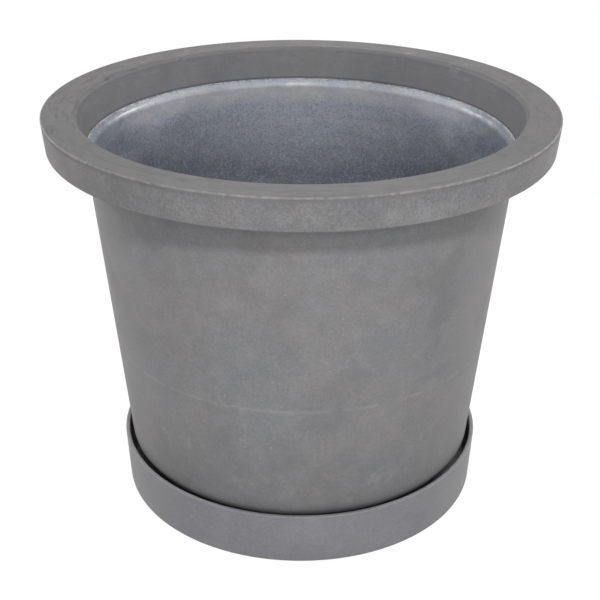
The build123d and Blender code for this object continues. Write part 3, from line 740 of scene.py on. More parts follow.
combine(saucer, joined(bosses), "UNION")
hollows = [
    turned(
        "hollow",
        [
            (0, -skin, 0),
            (boss_base_radius - saucer_wall + boss_slope * skin, -skin, 0),
            (boss_top_radius - saucer_wall, pot_foot - saucer_wall, 2 * mm),
            (0, pot_foot - saucer_wall, 0),
        ],
        centre=place, steps=48,
    )
    for place in boss_places
]
combine(saucer, joined(hollows), "DIFFERENCE")

# The overflow: a flat round pad in the back wall, drilled through for the plug.
overflow_radius = 8 * mm
seal_low, seal_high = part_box("overflow_seal")
overflow_height = (seal_low.z + seal_high.z) / 2
pad_face = seal_low.y
pad_depth = saucer_wall + 3 * mm


def back_rod(name, radius, near, far, height, sides=64):
    """A plain level bar along Y over the middle of the floor."""
    bpy.ops.object.select_all(action="DESELECT")
    bpy.ops.mesh.primitive_cylinder_add(
        vertices=sides, radius=radius, depth=far - near,
        location=(0, (near + far) / 2, height), rotation=(radians(90), 0, 0),
    )
    bpy.context.object.name = name
    bpy.ops.object.transform_apply(location=True, rotation=True, scale=True)
    return bpy.context.object


pad = back_rod("pad", 13 * mm, pad_face - pad_depth, pad_face, overflow_height)
easing = pad.modifiers.new("Easing", "BEVEL")
easing.width = 0.8 * mm
easing.segments = 3
bpy.ops.object.modifier_apply(modifier=easing.name)
combine(saucer, pad, "UNION")
drill = back_rod(
    "drill", overflow_radius, pad_face - 2 * pad_depth, pad_face + pad_depth, overflow_height
)
combine(saucer, drill, "DIFFERENCE")
smooth(saucer, 35)

tray_side, shader, place, radius, height, angle, tone, grain, clouds, clouded = moulded_polyethylene(
    "Polyethylene, rotomoulded, sand-matte saucer", "#838285", "#7e7e84", "#96969b", 0.7
)
on_tray_lip = add(
    tray_side, "ShaderNodeMapRange",
    {"Value": height, "From Min": saucer_height - 1.6 * mm, "From Max": saucer_height - 0.5 * mm},
)
lip_mark_noise = add(
    tray_side, "ShaderNodeTexNoise", {"Vector": place, "Scale": 1 / (7 * mm), "Detail": 3.0}
)
lip_mark_break = add(
    tray_side, "ShaderNodeMapRange",
    {"Value": lip_mark_noise, "From Min": 0.35, "From Max": 0.6, "To Min": 0.3},
)
# The tray's front is cooler in colour than its sides.
from_front = add(tray_side, "ShaderNodeMath", {0: angle, 1: radians(-90)}, operation="SUBTRACT")
sideways = add(tray_side, "ShaderNodeMath", {0: from_front}, operation="ABSOLUTE")
towards_sides = add(
    tray_side, "ShaderNodeMapRange",
    {"Value": sideways, "From Min": radians(35), "From Max": radians(80)},
)
side_tone = tinted(tray_side, tone, "#8f8e8b", towards_sides, 0.6)
colour = tinted(tray_side, side_tone, "#a5a5a8", on_tray_lip, lip_mark_break, 0.3)
tray_side.node_tree.links.new(colour, shader.inputs["Base Color"])
roughness = add(
    tray_side, "ShaderNodeMapRange",
    {"Value": clouds, "From Min": 0.0, "From Max": 1.0, "To Min": 0.6, "To Max": 0.7},
)
tray_side.node_tree.links.new(roughness, shader.inputs["Roughness"])
shader.inputs["IOR"].default_value = 1.5
shader.inputs["Specular IOR Level"].default_value = 0.45
sand = add(tray_side, "ShaderNodeBump", {"Height": grain, "Strength": 0.35, "Distance": 0.25 * mm})
tray_side.node_tree.links.new(sand, shader.inputs["Normal"])
saucer.data.materials.append(tray_side)
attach(saucer, "saucer")
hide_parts("saucer")

# ---------------------------------------------------------------------------------------------
# Separator plate. Injection-moulded polypropylene, near-black, on short legs: a perforated false
# floor that keeps the compost above the drained water. It stands loose on the pot's floor.
# ---------------------------------------------------------------------------------------------
def moulded_polypropylene(name, dark, pale, dust, limed=0.0):
    """Polypropylene from a spark-eroded mould: near-black and satin, with an even fine grain. Handling
    leaves broad dull patches, dry compost a brown bloom on what faces up, and hard water a pale
    crust and a tide mark on what hangs in the saucer. The grain, 0.05 mm on the real one, is drawn
    coarser so that it shows."""
    material, shader = new_material(name)
    mapping = add(material, "ShaderNodeTexCoord").node
    place = mapping.outputs["Object"]
    facing = add(material, "ShaderNodeSeparateXYZ", {0: mapping.outputs["Normal"]}, output=2)
    height = add(material, "ShaderNodeSeparateXYZ", {0: place}, output=2)
    tone_patches = patches(material, place, 26 * mm, 0.4, 0.64, detail=4.0, roughness=0.62)
    tone = tinted(material, linear(dark), pale, tone_patches)
    grain = add(
        material, "ShaderNodeTexNoise", {"Vector": place, "Scale": 1 / (0.9 * mm), "Roughness": 0.7}
    )
    grained_share = add(
        material, "ShaderNodeMapRange",
        {"Value": grain, "From Min": 0.5, "From Max": 0.72, "To Max": 0.4},
    )
    grained = tinted(material, tone, "#6c6d70", grained_share)
    dust_patches = patches(material, place, 9 * mm, 0.44, 0.68, detail=5.0, roughness=0.72)
    settled = add(material, "ShaderNodeMapRange", {"Value": facing, "From Min": 0.55, "From Max": 0.95})
    dusty = tinted(material, grained, "#74695b", settled, dust_patches, dust)
    crust = patches(material, place, 3.2 * mm, 0.46, 0.66, detail=4.0, roughness=0.75)
    wet = add(
        material, "ShaderNodeMapRange",
        {
            "Value": height, "From Min": pot_foot - 2 * mm, "From Max": pot_foot - 16 * mm,
            "To Min": 0.15,
        },
    )
    under_water = add(
        material, "ShaderNodeMapRange",
        {"Value": height, "From Min": pot_foot + 4 * mm, "From Max": pot_foot + 1 * mm},
    )
    tide = band(material, height, pot_foot - 6 * mm, 2.4 * mm)
    limy = tinted(material, dusty, "#9a9a93", crust, wet, under_water, limed)
    marked = tinted(material, limy, "#b5b4ab", tide, crust, limed)
    material.node_tree.links.new(marked, shader.inputs["Base Color"])
    roughness = add(
        material, "ShaderNodeMapRange",
        {"Value": tone_patches, "From Min": 0.0, "From Max": 1.0, "To Min": 0.4, "To Max": 0.56},
    )
    material.node_tree.links.new(roughness, shader.inputs["Roughness"])
    shader.inputs["IOR"].default_value = 1.49
    bump = add(material, "ShaderNodeBump", {"Height": grain, "Strength": 0.4, "Distance": 0.12 * mm})
    material.node_tree.links.new(bump, shader.inputs["Normal"])
    return material


def finish_node(name, material):
    """Gives a piece that keeps its construction mesh its finish."""
    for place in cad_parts[name].material_slots:
        place.material = material


plate_plastic = moulded_polypropylene(
    "Polypropylene, injection-moulded, spark-eroded grain", "#333438", "#3e3f42", 0.5
)
finish_node("separator_plate", plate_plastic)

# ---------------------------------------------------------------------------------------------
# Wicking cups. Four tapered, slotted cups of the same polypropylene, pushed through the plate and
# held by their flanges. Compost packed into them draws water up; they stand in it all summer.
# ---------------------------------------------------------------------------------------------
cup_plastic = moulded_polypropylene(
    "Polypropylene, injection-moulded, limed by hard water", "#333438", "#3d3e42", 0.45, 0.5
)
for number in (1, 2, 3, 4):
    finish_node(f"wicking_cup_{number}", cup_plastic)


# ---------------------------------------------------------------------------------------------
# Fill tube. Extruded PVC pipe with a welded collar that rests on the plate: water poured in at
# the top runs down inside it into the saucer, past the compost.
# ---------------------------------------------------------------------------------------------
def extruded_pipe(name, dark, pale):
    """Extruded PVC: the die leaves faint lengthwise lines in an even, fairly glossy skin, and
    pushing the tubes in and out of compost leaves dull scuffs."""
    material, shader = new_material(name)
    place = add(material, "ShaderNodeTexCoord", output="Object")
    stretched = add(material, "ShaderNodeMapping", {"Vector": place, "Scale": (1.0, 1.0, 0.02)})
    lines = add(
        material, "ShaderNodeTexNoise",
        {"Vector": stretched, "Scale": 1 / (1.6 * mm), "Detail": 3.0, "Roughness": 0.7},
    )
    scuffs = patches(material, place, 14 * mm, 0.5, 0.7, detail=5.0, roughness=0.7)
    lined_share = add(
        material, "ShaderNodeMapRange", {"Value": lines, "From Min": 0.35, "From Max": 0.65}
    )
    lined = tinted(material, linear(dark), pale, lined_share)
    scuffed = tinted(material, lined, "#6e6c69", scuffs, 0.5)
    material.node_tree.links.new(scuffed, shader.inputs["Base Color"])
    roughness = add(
        material, "ShaderNodeMapRange",
        {"Value": scuffs, "From Min": 0.0, "From Max": 1.0, "To Min": 0.3, "To Max": 0.55},
    )
    material.node_tree.links.new(roughness, shader.inputs["Roughness"])
    shader.inputs["IOR"].default_value = 1.53
    bump = add(material, "ShaderNodeBump", {"Height": lines, "Strength": 0.25, "Distance": 0.1 * mm})
    material.node_tree.links.new(bump, shader.inputs["Normal"])
    return material


tube_low, tube_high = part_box("fill_tube")
plate_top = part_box("fill_tube_nut")[1].z + 3 * mm
shoulder = 3 * mm
fill_radius = 14 * mm
fill_bore = 12 * mm
shoulder_radius = (tube_high.x - tube_low.x) / 2
fill_tube = turned(
    "fill_tube_pipe",
    [
        (fill_bore, tube_low.z, 0.5 * mm),
        (fill_radius, tube_low.z, 0.6 * mm),
        (fill_radius, plate_top, 0),
        (shoulder_radius, plate_top, 0.4 * mm),
        (shoulder_radius, plate_top + shoulder, 0.8 * mm),
        (fill_radius, plate_top + shoulder, 0.8 * mm),
        (fill_radius, tube_high.z, 0.5 * mm),
        (fill_bore, tube_high.z, 0.4 * mm),
    ],
    centre=fill_place, steps=96, ring=True,
)
smooth(fill_tube, 35)
pipe_plastic = extruded_pipe("PVC, extruded pipe", "#34353a", "#45464b")
fill_tube.data.materials.append(pipe_plastic)
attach(fill_tube, "insert")
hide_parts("fill_tube")

# ---------------------------------------------------------------------------------------------
# Tube nut and foot strainer. The nut clamps the plate against the tube's collar from below; the
# strainer is a slotted cap pushed over the tube's foot to keep grit and roots out of it.
# ---------------------------------------------------------------------------------------------
finish_node("fill_tube_nut", plate_plastic)
finish_node("foot_strainer", cup_plastic)

# ---------------------------------------------------------------------------------------------
# Fill collar, flap and pin. A satin polypropylene collar is pushed on the tube's mouth; its two
# ears hold a steel pin, and on the pin swings the flap that keeps compost and gnats out.
# ---------------------------------------------------------------------------------------------
def satin_polypropylene(name, dark, pale):
    """Polypropylene from a polished mould: black and satin, a little dulled and dusty where fingers
    don't rub it."""
    material, shader = new_material(name)
    place = add(material, "ShaderNodeTexCoord", output="Object")
    dulled = patches(material, place, 8 * mm, 0.42, 0.66, detail=4.0, roughness=0.65)
    tone = tinted(material, linear(dark), pale, dulled)
    motes = patches(material, place, 1.3 * mm, 0.58, 0.72, detail=3.0, roughness=0.8)
    dusty = tinted(material, tone, "#85807a", motes, 0.4)
    material.node_tree.links.new(dusty, shader.inputs["Base Color"])
    roughness = add(
        material, "ShaderNodeMapRange",
        {"Value": dulled, "From Min": 0.0, "From Max": 1.0, "To Min": 0.28, "To Max": 0.48},
    )
    material.node_tree.links.new(roughness, shader.inputs["Roughness"])
    shader.inputs["IOR"].default_value = 1.49
    bump_noise = add(material, "ShaderNodeTexNoise", {"Vector": place, "Scale": 1 / (2.5 * mm)})
    bump = add(
        material, "ShaderNodeBump", {"Height": bump_noise, "Strength": 0.12, "Distance": 0.2 * mm}
    )
    material.node_tree.links.new(bump, shader.inputs["Normal"])
    return material


def cross_rod(name, centre, radius, left, right, sides=48):
    """A plain level bar along X, through a point (Y, Z)."""
    bpy.ops.object.select_all(action="DESELECT")
    bpy.ops.mesh.primitive_cylinder_add(
        vertices=sides, radius=radius, depth=right - left,
        location=((left + right) / 2, *centre), rotation=(0, radians(90), 0),
    )
    bpy.context.object.name = name
    bpy.ops.object.transform_apply(location=True, rotation=True, scale=True)
    return bpy.context.object


def block(name, low, high, easing):
    """A block between two corners with its edges eased."""
    low, high = Vector(low), Vector(high)
    bpy.ops.object.select_all(action="DESELECT")
    bpy.ops.mesh.primitive_cube_add(size=1, location=(low + high) / 2)
    piece = bpy.context.object
    piece.name = name
    piece.scale = high - low
    bpy.ops.object.transform_apply(location=True, rotation=False, scale=True)
    bpy.ops.object.mode_set(mode="EDIT")
    bpy.ops.mesh.select_all(action="SELECT")
    bpy.ops.mesh.bevel(offset=easing, segments=4, affect="EDGES")
    bpy.ops.object.mode_set(mode="OBJECT")
    return piece


cap_plastic = satin_polypropylene("Polypropylene, injection-moulded, satin", "#2e2f32", "#3b3c40")
finish_node("fill_collar", cap_plastic)

pin_low, pin_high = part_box("flap_pin")
flap_low, flap_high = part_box("fill_flap")
fill_x, fill_y = fill_place
hinge_y, hinge_z = (pin_low.y + pin_high.y) / 2, (pin_low.z + pin_high.z) / 2
flap_thickness = 2.6 * mm
collar_top = hinge_z - flap_thickness / 2
flap_top = hinge_z + flap_thickness / 2
flap_radius = (flap_high.x - flap_low.x) / 2
skirt_radius = 11.5 * mm
knuckle_radius = 3.2 * mm
knuckle_half = 3.8 * mm
pin_hole_radius = 1.58 * mm
flap = turned(
    "fill_flap_cover",
    [
        (0, flap_top - 0.7 * mm, 0),
        (flap_radius - 4.4 * mm, flap_top - 0.7 * mm, 0.8 * mm),
        (flap_radius - 3.4 * mm, flap_top, 0.6 * mm),
        (flap_radius, flap_top, 0.9 * mm),
        (flap_radius, collar_top, 0.4 * mm),
        (skirt_radius, collar_top, 0.3 * mm),
        (skirt_radius, flap_low.z, 0.3 * mm),
        (skirt_radius - 1.4 * mm, flap_low.z, 0.3 * mm),
        (skirt_radius - 1.4 * mm, collar_top, 0.3 * mm),
        (0, collar_top, 0),
    ],
    centre=fill_place, steps=96,
)
thumb_tab = block(
    "tab", (fill_x - 6 * mm, fill_y + flap_radius - 3 * mm, collar_top + 0.1 * mm),
    (fill_x + 6 * mm, flap_high.y, flap_top - 0.1 * mm), 0.7 * mm,
)
combine(flap, thumb_tab, "UNION")
strap = block(
    "strap", (fill_x - knuckle_half, hinge_y, collar_top + 0.05 * mm),
    (fill_x + knuckle_half, fill_y - flap_radius + 3.2 * mm, flap_top - 0.05 * mm), 0.3 * mm,
)
combine(flap, strap, "UNION")
hinge_line = (hinge_y, hinge_z)
knuckle = cross_rod(
    "knuckle", hinge_line, knuckle_radius, fill_x - knuckle_half, fill_x + knuckle_half
)
combine(flap, knuckle, "UNION")
pin_hole = cross_rod("drill", hinge_line, pin_hole_radius, fill_x - 9 * mm, fill_x + 9 * mm)
combine(flap, pin_hole, "DIFFERENCE")
smooth(flap, 32)
flap.data.materials.append(cap_plastic)
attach(flap, "flap")
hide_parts("fill_flap")

pin_steel, shader = new_material("Stainless steel, drawn wire")
# Drawing leaves fine lines along the wire, so its shine is broken across them.
place = add(pin_steel, "ShaderNodeTexCoord", output="Object")
drawn = add(pin_steel, "ShaderNodeMapping", {"Vector": place, "Scale": (0.03, 1.0, 1.0)})
lines = add(
    pin_steel, "ShaderNodeTexNoise",
    {"Vector": drawn, "Scale": 1 / (0.4 * mm), "Detail": 3.0, "Roughness": 0.7},
)
colour = tinted(pin_steel, linear("#a2a4a6"), "#c3c5c6", lines)
pin_steel.node_tree.links.new(colour, shader.inputs["Base Color"])
roughness = add(
    pin_steel, "ShaderNodeMapRange",
    {"Value": lines, "From Min": 0.3, "From Max": 0.7, "To Min": 0.22, "To Max": 0.4},
)
pin_steel.node_tree.links.new(roughness, shader.inputs["Roughness"])
shader.inputs["Metallic"].default_value = 1.0
finish_node("flap_pin", pin_steel)

# ---------------------------------------------------------------------------------------------
# Float cage and gauge tube. The slotted cage keeps roots off the float; the tube, pipe of the
# same kind as the fill tube, carries the float's rod up past the compost. Cage and tube clamp
# the plate between them.
# ---------------------------------------------------------------------------------------------
finish_node("float_cage", cup_plastic)
gauge_low, gauge_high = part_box("gauge_tube")
gauge_radius = 9 * mm
gauge_bore = 7.4 * mm
gauge_tube = turned(
    "gauge_pipe",
    [
        (gauge_bore, gauge_low.z, 0.4 * mm),
        (gauge_radius, gauge_low.z, 0.5 * mm),
        (gauge_radius, plate_top, 0),
        (gauge_radius + 5 * mm, plate_top, 0.4 * mm),
        (gauge_radius + 5 * mm, plate_top + shoulder, 0.8 * mm),
        (gauge_radius, plate_top + shoulder, 0.8 * mm),
        (gauge_radius, gauge_high.z, 0.4 * mm),
        (gauge_bore, gauge_high.z, 0.3 * mm),
    ],
    centre=gauge_place, steps=80, ring=True,
)
smooth(gauge_tube, 35)
gauge_tube.data.materials.append(pipe_plastic)
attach(gauge_tube, "insert")
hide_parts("gauge_tube")

# ---------------------------------------------------------------------------------------------
# Rod guide. A turned acetal bush in the gauge tube's top, so that the rod slides without sticking.
# ---------------------------------------------------------------------------------------------
def turned_acetal(name, warm, pale, along):
    """Acetal: milky white and slippery. A lathe leaves fine rings round a bush, and extrusion fine
    lines along a rod; handling yellows it a little."""
    material, shader = new_material(name)
    place = add(material, "ShaderNodeTexCoord", output="Object")
    stretched = add(material, "ShaderNodeMapping", {"Vector": place, "Scale": along})
    lines = add(
        material, "ShaderNodeTexNoise", {"Vector": stretched, "Scale": 1 / (0.5 * mm), "Roughness": 0.6}
    )
    yellowed = patches(material, place, 7 * mm, 0.4, 0.65, detail=3.0, roughness=0.6)
    tone = tinted(material, linear(pale), warm, yellowed)
    lined_share = add(
        material, "ShaderNodeMapRange",
        {"Value": lines, "From Min": 0.5, "From Max": 0.75, "To Max": 0.25},
    )
    lined = tinted(material, tone, "#b6b1a4", lined_share)
    material.node_tree.links.new(lined, shader.inputs["Base Color"])
    roughness = add(
        material, "ShaderNodeMapRange",
        {"Value": lines, "From Min": 0.3, "From Max": 0.7, "To Min": 0.25, "To Max": 0.4},
    )
    material.node_tree.links.new(roughness, shader.inputs["Roughness"])
    shader.inputs["IOR"].default_value = 1.48
    shader.inputs["Subsurface Weight"].default_value = 0.1
    shader.inputs["Subsurface Radius"].default_value = (1 * mm, 0.8 * mm, 0.6 * mm)
    bump = add(material, "ShaderNodeBump", {"Height": lines, "Strength": 0.2, "Distance": 0.05 * mm})
    material.node_tree.links.new(bump, shader.inputs["Normal"])
    return material


guide_low, guide_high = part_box("rod_guide")
rod_low, rod_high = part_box("float_rod")
rod_radius = (rod_high.x - rod_low.x) / 2
rod_hole = rod_radius + 0.08 * mm
guide = turned(
    "rod_guide_bush",
    [
        (rod_hole, guide_low.z, 0),
        (gauge_bore - 0.03 * mm, guide_low.z, 0.4 * mm),
        (gauge_bore - 0.03 * mm, gauge_high.z, 0),
        (gauge_radius, gauge_high.z, 0.2 * mm),
        (gauge_radius, guide_high.z, 0.5 * mm),
        (rod_hole + 0.9 * mm, guide_high.z, 0.2 * mm),
        (rod_hole, guide_high.z - 0.7 * mm, 0),
    ],
    centre=gauge_place, steps=64, ring=True,
)
smooth(guide, 30)
guide.data.materials.append(turned_acetal("Acetal, turned", "#d6cfba", "#e2dfd5", (0.2, 0.2, 1.0)))
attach(guide, "insert")
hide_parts("rod_guide")

# ---------------------------------------------------------------------------------------------
# Float, rod and marker. A closed-cell polyethylene foam float, an acetal rod pressed into it, and
# a red tip pressed on the rod: all three rise with the water.
# ---------------------------------------------------------------------------------------------
float_low, float_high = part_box("float_block")
float_radius = (float_high.x - float_low.x) / 2
float_block = turned(
    "float_foam",
    [
        (0, float_low.z, 0),
        (float_radius, float_low.z, 2.4 * mm),
        (float_radius, (float_low.z + float_high.z) / 2 - 1.2 * mm, 0.4 * mm),
        (float_radius - 0.7 * mm, (float_low.z + float_high.z) / 2, 0.6 * mm),
        (float_radius, (float_low.z + float_high.z) / 2 + 1.2 * mm, 0.4 * mm),
        (float_radius, float_high.z, 2.4 * mm),
        (rod_radius + 0.03 * mm, float_high.z, 0.4 * mm),
        (rod_radius + 0.03 * mm, rod_low.z, 0),
        (0, rod_low.z, 0),
    ],
    centre=gauge_place, steps=80,
)
smooth(float_block, 32)
foam, shader = new_material("Polyethylene foam, closed-cell, moulded skin")
# Foam shows its cells as a fine dimpled pattern, 1 to 2 mm across, and stains in standing water.
place = add(foam, "ShaderNodeTexCoord", output="Object")
cells = add(foam, "ShaderNodeTexVoronoi", {"Vector": place, "Scale": 1 / (1.4 * mm)}, output="Distance")
stains = patches(foam, place, 10 * mm, 0.45, 0.68, detail=4.0, roughness=0.65)
tone = tinted(foam, linear("#e0dbcd"), "#b9ae93", stains)
colour_share = add(
    foam, "ShaderNodeMapRange", {"Value": cells, "From Min": 0.3, "From Max": 0.75, "To Max": 0.5}
)
colour = tinted(foam, tone, "#a39a86", colour_share)
foam.node_tree.links.new(colour, shader.inputs["Base Color"])
shader.inputs["Roughness"].default_value = 0.75
dimples = add(
    foam, "ShaderNodeBump", {"Height": cells, "Strength": 0.5, "Distance": 0.25 * mm}, invert=True
)
foam.node_tree.links.new(dimples, shader.inputs["Normal"])
float_block.data.materials.append(foam)
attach(float_block, "float")
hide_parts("float_block")

float_rod = turned(
    "float_rod_bar",
    [
        (0, rod_low.z, 0),
        (rod_radius, rod_low.z, 0.3 * mm),
        (rod_radius, rod_high.z, 0.3 * mm),
        (0, rod_high.z, 0),
    ],
    centre=gauge_place, steps=32,
)
smooth(float_rod, 35)
rod_acetal = turned_acetal("Acetal, extruded rod", "#d9d3c1", "#e6e3da", (1.0, 1.0, 0.03))
float_rod.data.materials.append(rod_acetal)
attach(float_rod, "float")
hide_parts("float_rod")

marker_low, marker_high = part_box("level_marker")
marker_radius = (marker_high.x - marker_low.x) / 2
marker = turned(
    "level_marker_tip",
    [
        (0, rod_high.z, 0),
        (rod_radius + 0.03 * mm, rod_high.z, 0),
        (rod_radius + 0.03 * mm, marker_low.z, 0.2 * mm),
        (marker_radius, marker_low.z, 1.4 * mm),
        (marker_radius, marker_high.z, 2.6 * mm),
        (0, marker_high.z, 0),
    ],
    centre=gauge_place, steps=64,
)
smooth(marker, 30)
red_plastic, shader = new_material("ABS, injection-moulded, glossy red")
# Glossy red ABS with the faint ripple of a thick moulding, slightly bleached in places.
place = add(red_plastic, "ShaderNodeTexCoord", output="Object")
bleach = patches(red_plastic, place, 5 * mm, 0.4, 0.7, detail=3.0, roughness=0.6)
colour = tinted(red_plastic, linear("#b3160f"), "#c9352a", bleach)
red_plastic.node_tree.links.new(colour, shader.inputs["Base Color"])
roughness = add(
    red_plastic, "ShaderNodeMapRange",
    {"Value": bleach, "From Min": 0.0, "From Max": 1.0, "To Min": 0.18, "To Max": 0.34},
)
red_plastic.node_tree.links.new(roughness, shader.inputs["Roughness"])
ripple_noise = add(red_plastic, "ShaderNodeTexNoise", {"Vector": place, "Scale": 1 / (3 * mm)})
ripple = add(
    red_plastic, "ShaderNodeBump", {"Height": ripple_noise, "Strength": 0.1, "Distance": 0.3 * mm}
)
red_plastic.node_tree.links.new(ripple, shader.inputs["Normal"])
marker.data.materials.append(red_plastic)
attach(marker, "float")
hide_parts("level_marker")

# ---------------------------------------------------------------------------------------------
# Gauge cap. Clear polycarbonate, pushed over the gauge tube: the red tip rises into it.
# ---------------------------------------------------------------------------------------------
cap_low, cap_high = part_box("gauge_cap")
cap_radius = (cap_high.x - cap_low.x) / 2
cap_bore = gauge_radius + 0.03 * mm
gauge_cap = turned(
    "gauge_cap_dome",
    [
        (0, cap_high.z, 0),
        (cap_radius, cap_high.z, 2.6 * mm),
        (cap_radius, cap_low.z + 2.2 * mm, 0.2 * mm),
        (cap_radius, cap_low.z, 0.4 * mm),
        (cap_bore, cap_low.z, 0.3 * mm),
        (cap_bore, cap_high.z - 1.4 * mm, 1.6 * mm),
        (0, cap_high.z - 1.4 * mm, 0),
    ],
    centre=gauge_place, steps=96,
)
smooth(gauge_cap, 35)
clear, shader = new_material("Polycarbonate, injection-moulded, clear")
# Clear and glossy, faintly hazed by fine scratches from soil and wiping.
place = add(clear, "ShaderNodeTexCoord", output="Object")
hazed = patches(clear, place, 6 * mm, 0.45, 0.7, detail=5.0, roughness=0.75)
colour = tinted(clear, linear("#f4f8f8"), "#e2e8e8", hazed)
clear.node_tree.links.new(colour, shader.inputs["Base Color"])
roughness = add(
    clear, "ShaderNodeMapRange",
    {"Value": hazed, "From Min": 0.0, "From Max": 1.0, "To Min": 0.03, "To Max": 0.2},
)
clear.node_tree.links.new(roughness, shader.inputs["Roughness"])
shader.inputs["IOR"].default_value = 1.58
shader.inputs["Transmission Weight"].default_value = 1.0
gauge_cap.data.materials.append(clear)
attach(gauge_cap, "insert")
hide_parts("gauge_cap")

# ---------------------------------------------------------------------------------------------
# Tube clip. Two rings and a web of the plate's polypropylene, pushed over both tubes to keep them
# parallel in the loose compost.
# ---------------------------------------------------------------------------------------------
finish_node("tube_clip", plate_plastic)

# ---------------------------------------------------------------------------------------------
# Overflow plug and seal. A satin polypropylene bung with a moulded grip closes the hole in the
# saucer's back; a flat rubber washer under its head keeps it tight.
# ---------------------------------------------------------------------------------------------
def facing_back(piece, place):
    """Turns an upright piece so that its top faces the back, and puts its foot at a place."""
    bpy.ops.object.select_all(action="DESELECT")
    bpy.context.view_layer.objects.active = piece
    piece.select_set(True)
    piece.rotation_euler = (radians(-90), 0, 0)
    piece.location = place
    bpy.ops.object.transform_apply(location=True, rotation=True, scale=True)


seal_thickness = 2 * mm
head_thickness = 4 * mm
grip_height = 8 * mm
head_radius = 13 * mm
shank_radius = overflow_radius - 0.1 * mm
shank_length = seal_thickness + pad_depth + 5 * mm
plug = turned(
    "overflow_bung",
    [
        (0, head_thickness, 0),
        (head_radius - 2.6 * mm, head_thickness, 0.4 * mm),
        (head_radius - 2.0 * mm, head_thickness - 0.6 * mm, 0.3 * mm),
        (head_radius, head_thickness - 0.9 * mm, 1.2 * mm),
        (head_radius, 0, 0.6 * mm),
        (shank_radius, 0, 0.3 * mm),
        (shank_radius, 1.7 * mm - shank_length, 0.5 * mm),
        (shank_radius - 1.7 * mm, -shank_length, 0.4 * mm),
        (0, -shank_length, 0),
    ],
    steps=96,
)
grip = block(
    "grip", (-10.5 * mm, -2.5 * mm, head_thickness - 1 * mm),
    (10.5 * mm, 2.5 * mm, head_thickness + grip_height), 1.6 * mm,
)
combine(plug, grip, "UNION")
rib_foot, rib_top = head_thickness + 0.8 * mm, head_thickness + grip_height - 2 * mm
for side in (-1, 1):
    for number in (-1, 0, 1):
        rib_x, rib_y = number * 4.6 * mm, side * 2.2 * mm
        rib = block(
            "rib", (rib_x - 0.7 * mm, rib_y - 0.8 * mm, rib_foot),
            (rib_x + 0.7 * mm, rib_y + 0.8 * mm, rib_top), 0.35 * mm,
        )
        combine(plug, rib, "UNION")
smooth(plug, 32)
facing_back(plug, (0, pad_face + seal_thickness, overflow_height))
plug.data.materials.append(cap_plastic)
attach(plug, "overflow_plug")
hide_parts("overflow_plug")

seal = turned(
    "overflow_washer",
    [
        (shank_radius + 0.03 * mm, 0, 0.2 * mm),
        (overflow_radius + 4.5 * mm, 0, 0.4 * mm),
        (overflow_radius + 4.5 * mm, seal_thickness, 0.4 * mm),
        (shank_radius + 0.03 * mm, seal_thickness, 0.2 * mm),
    ],
    steps=96, ring=True,
)
smooth(seal, 35)
facing_back(seal, (0, pad_face, overflow_height))
rubber, shader = new_material("EPDM rubber, moulded, matte")
# Black rubber, matte, with a grey chalky bloom in patches.
place = add(rubber, "ShaderNodeTexCoord", output="Object")
bloom = patches(rubber, place, 4 * mm, 0.45, 0.7, detail=4.0, roughness=0.7)
colour = tinted(rubber, linear("#232325"), "#3b3b3c", bloom)
rubber.node_tree.links.new(colour, shader.inputs["Base Color"])
roughness = add(
    rubber, "ShaderNodeMapRange",
    {"Value": bloom, "From Min": 0.0, "From Max": 1.0, "To Min": 0.68, "To Max": 0.85},
)
rubber.node_tree.links.new(roughness, shader.inputs["Roughness"])
pores_noise = add(rubber, "ShaderNodeTexNoise", {"Vector": place, "Scale": 1 / (0.7 * mm)})
pores = add(rubber, "ShaderNodeBump", {"Height": pores_noise, "Strength": 0.3, "Distance": 0.1 * mm})
rubber.node_tree.links.new(pores, shader.inputs["Normal"])
seal.data.materials.append(rubber)
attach(seal, "overflow_plug")
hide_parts("overflow_seal")

# ---------------------------------------------------------------------------------------------
# Studio: a white floor and an even white surround. In front stand a wide low light and a smaller
# high one, which throws the rim's shadow on the wall; two small lights stand behind, left and
# right, and one hangs overhead. A long lens looks down a little.
# ---------------------------------------------------------------------------------------------
bpy.ops.object.select_all(action="DESELECT")
bpy.ops.mesh.primitive_plane_add(size=12, location=(0, 0, 0))
floor = bpy.context.object
floor.name = "floor"
white_floor, shader = new_material("Studio floor, matte white")
shader.inputs["Base Color"].default_value = (0.8, 0.8, 0.8, 1)
shader.inputs["Roughness"].default_value = 0.9
shader.inputs["Specular IOR Level"].default_value = 0.0
seen = add(white_floor, "ShaderNodeLightPath").node
place = add(white_floor, "ShaderNodeTexCoord", output="Object")
far_away = add(white_floor, "ShaderNodeVectorMath", {0: place}, operation="LENGTH")
glow_strength = add(
    white_floor, "ShaderNodeMapRange",
    {"Value": far_away, "From Min": 0.5, "From Max": 1.5, "To Min": 1.08},
)
glow = add(white_floor, "ShaderNodeEmission", {"Color": (1, 1, 1, 1), "Strength": glow_strength})
clear_view = add(
    white_floor, "ShaderNodeMath",
    {0: seen.outputs["Is Camera Ray"], 1: seen.outputs["Is Transmission Ray"]}, operation="MAXIMUM",
)
either = add(
    white_floor, "ShaderNodeMath", {0: clear_view, 1: seen.outputs["Is Glossy Ray"]},
    operation="MAXIMUM",
)
share_level = add(
    white_floor, "ShaderNodeMapRange",
    {"Value": far_away, "From Min": 0.5, "From Max": 1.5, "To Min": 0.85},
)
share = add(white_floor, "ShaderNodeMath", {0: either, 1: share_level}, operation="MULTIPLY")
blended = add(white_floor, "ShaderNodeMixShader", {0: share, 1: shader.outputs[0], 2: glow})
white_floor.node_tree.links.new(
    blended, white_floor.node_tree.nodes["Material Output"].inputs["Surface"]
)
floor.data.materials.append(white_floor)

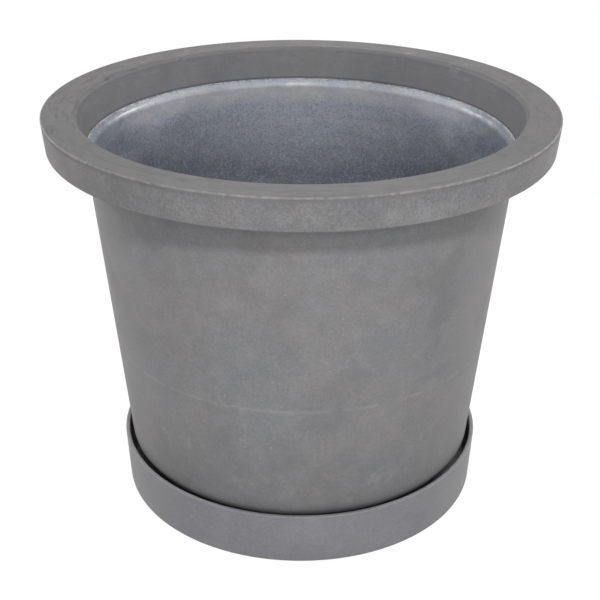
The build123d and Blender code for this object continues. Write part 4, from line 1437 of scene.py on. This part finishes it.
world = bpy.data.worlds.new("Studio surround")
bpy.context.scene.world = world
world.use_nodes = True
surround = world.node_tree.nodes["Background"]
path = add(world, "ShaderNodeLightPath").node
direct = add(
    world, "ShaderNodeMath",
    {0: path.outputs["Is Camera Ray"], 1: path.outputs["Is Transmission Ray"]}, operation="MAXIMUM",
)
mirrored = add(
    world, "ShaderNodeMath", {0: direct, 1: path.outputs["Is Glossy Ray"]}, operation="MAXIMUM"
)
level = add(world, "ShaderNodeMapRange", {"Value": mirrored, "To Min": 0.25, "To Max": 1.0})
world.node_tree.links.new(level, surround.inputs["Strength"])
surround.inputs["Color"].default_value = (1, 1, 1, 1)


def soft_light(name, place, target, width, depth, watts):
    """A flat rectangular lamp that faces a point."""
    data = bpy.data.lights.new(name, "AREA")
    data.shape = "RECTANGLE"
    data.size, data.size_y = width, depth
    data.energy = watts
    lamp = bpy.data.objects.new(name, data)
    bpy.context.collection.objects.link(lamp)
    lamp.location = place
    lamp.rotation_euler = (Vector(target) - Vector(place)).to_track_quat("-Z", "Y").to_euler()
    return lamp


soft_light("front_low", (0.15, -2.15, 1.36), (0, 0, 0.3), 1.6, 0.4, 11.5)
soft_light("front_high", (0.2, -2.1, 2.1), (0, 0, 0.38), 0.4, 0.25, 31)
soft_light("left_back", (-1.93, 1.16, 1.23), (0, 0, 0.4), 0.2, 0.2, 24)
soft_light("right_back", (1.93, 1.16, 1.23), (0, 0, 0.4), 0.2, 0.2, 23)
soft_light("overhead", (0.1, 0.25, 2.3), (0, 0, rim_top), 0.6, 0.35, 5)

data = bpy.data.cameras.new("camera")
camera = bpy.data.objects.new("camera", data)
bpy.context.collection.objects.link(camera)
bpy.context.scene.camera = camera
camera_height = radians(25.90)
camera_distance = 5.0722 * rim_radius
target = Vector((0, 0, rim_top / 2))
camera.location = target + camera_distance * Vector((0, -cos(camera_height), sin(camera_height)))
roll = Quaternion((0, 0, 1), radians(0.3))
camera.rotation_euler = ((target - camera.location).to_track_quat("-Z", "Y") @ roll).to_euler()
data.sensor_width = 36
data.lens = 72.8
data.shift_x = -0.0007
data.shift_y = -0.0127

bpy.context.scene.view_settings.view_transform = "Standard"
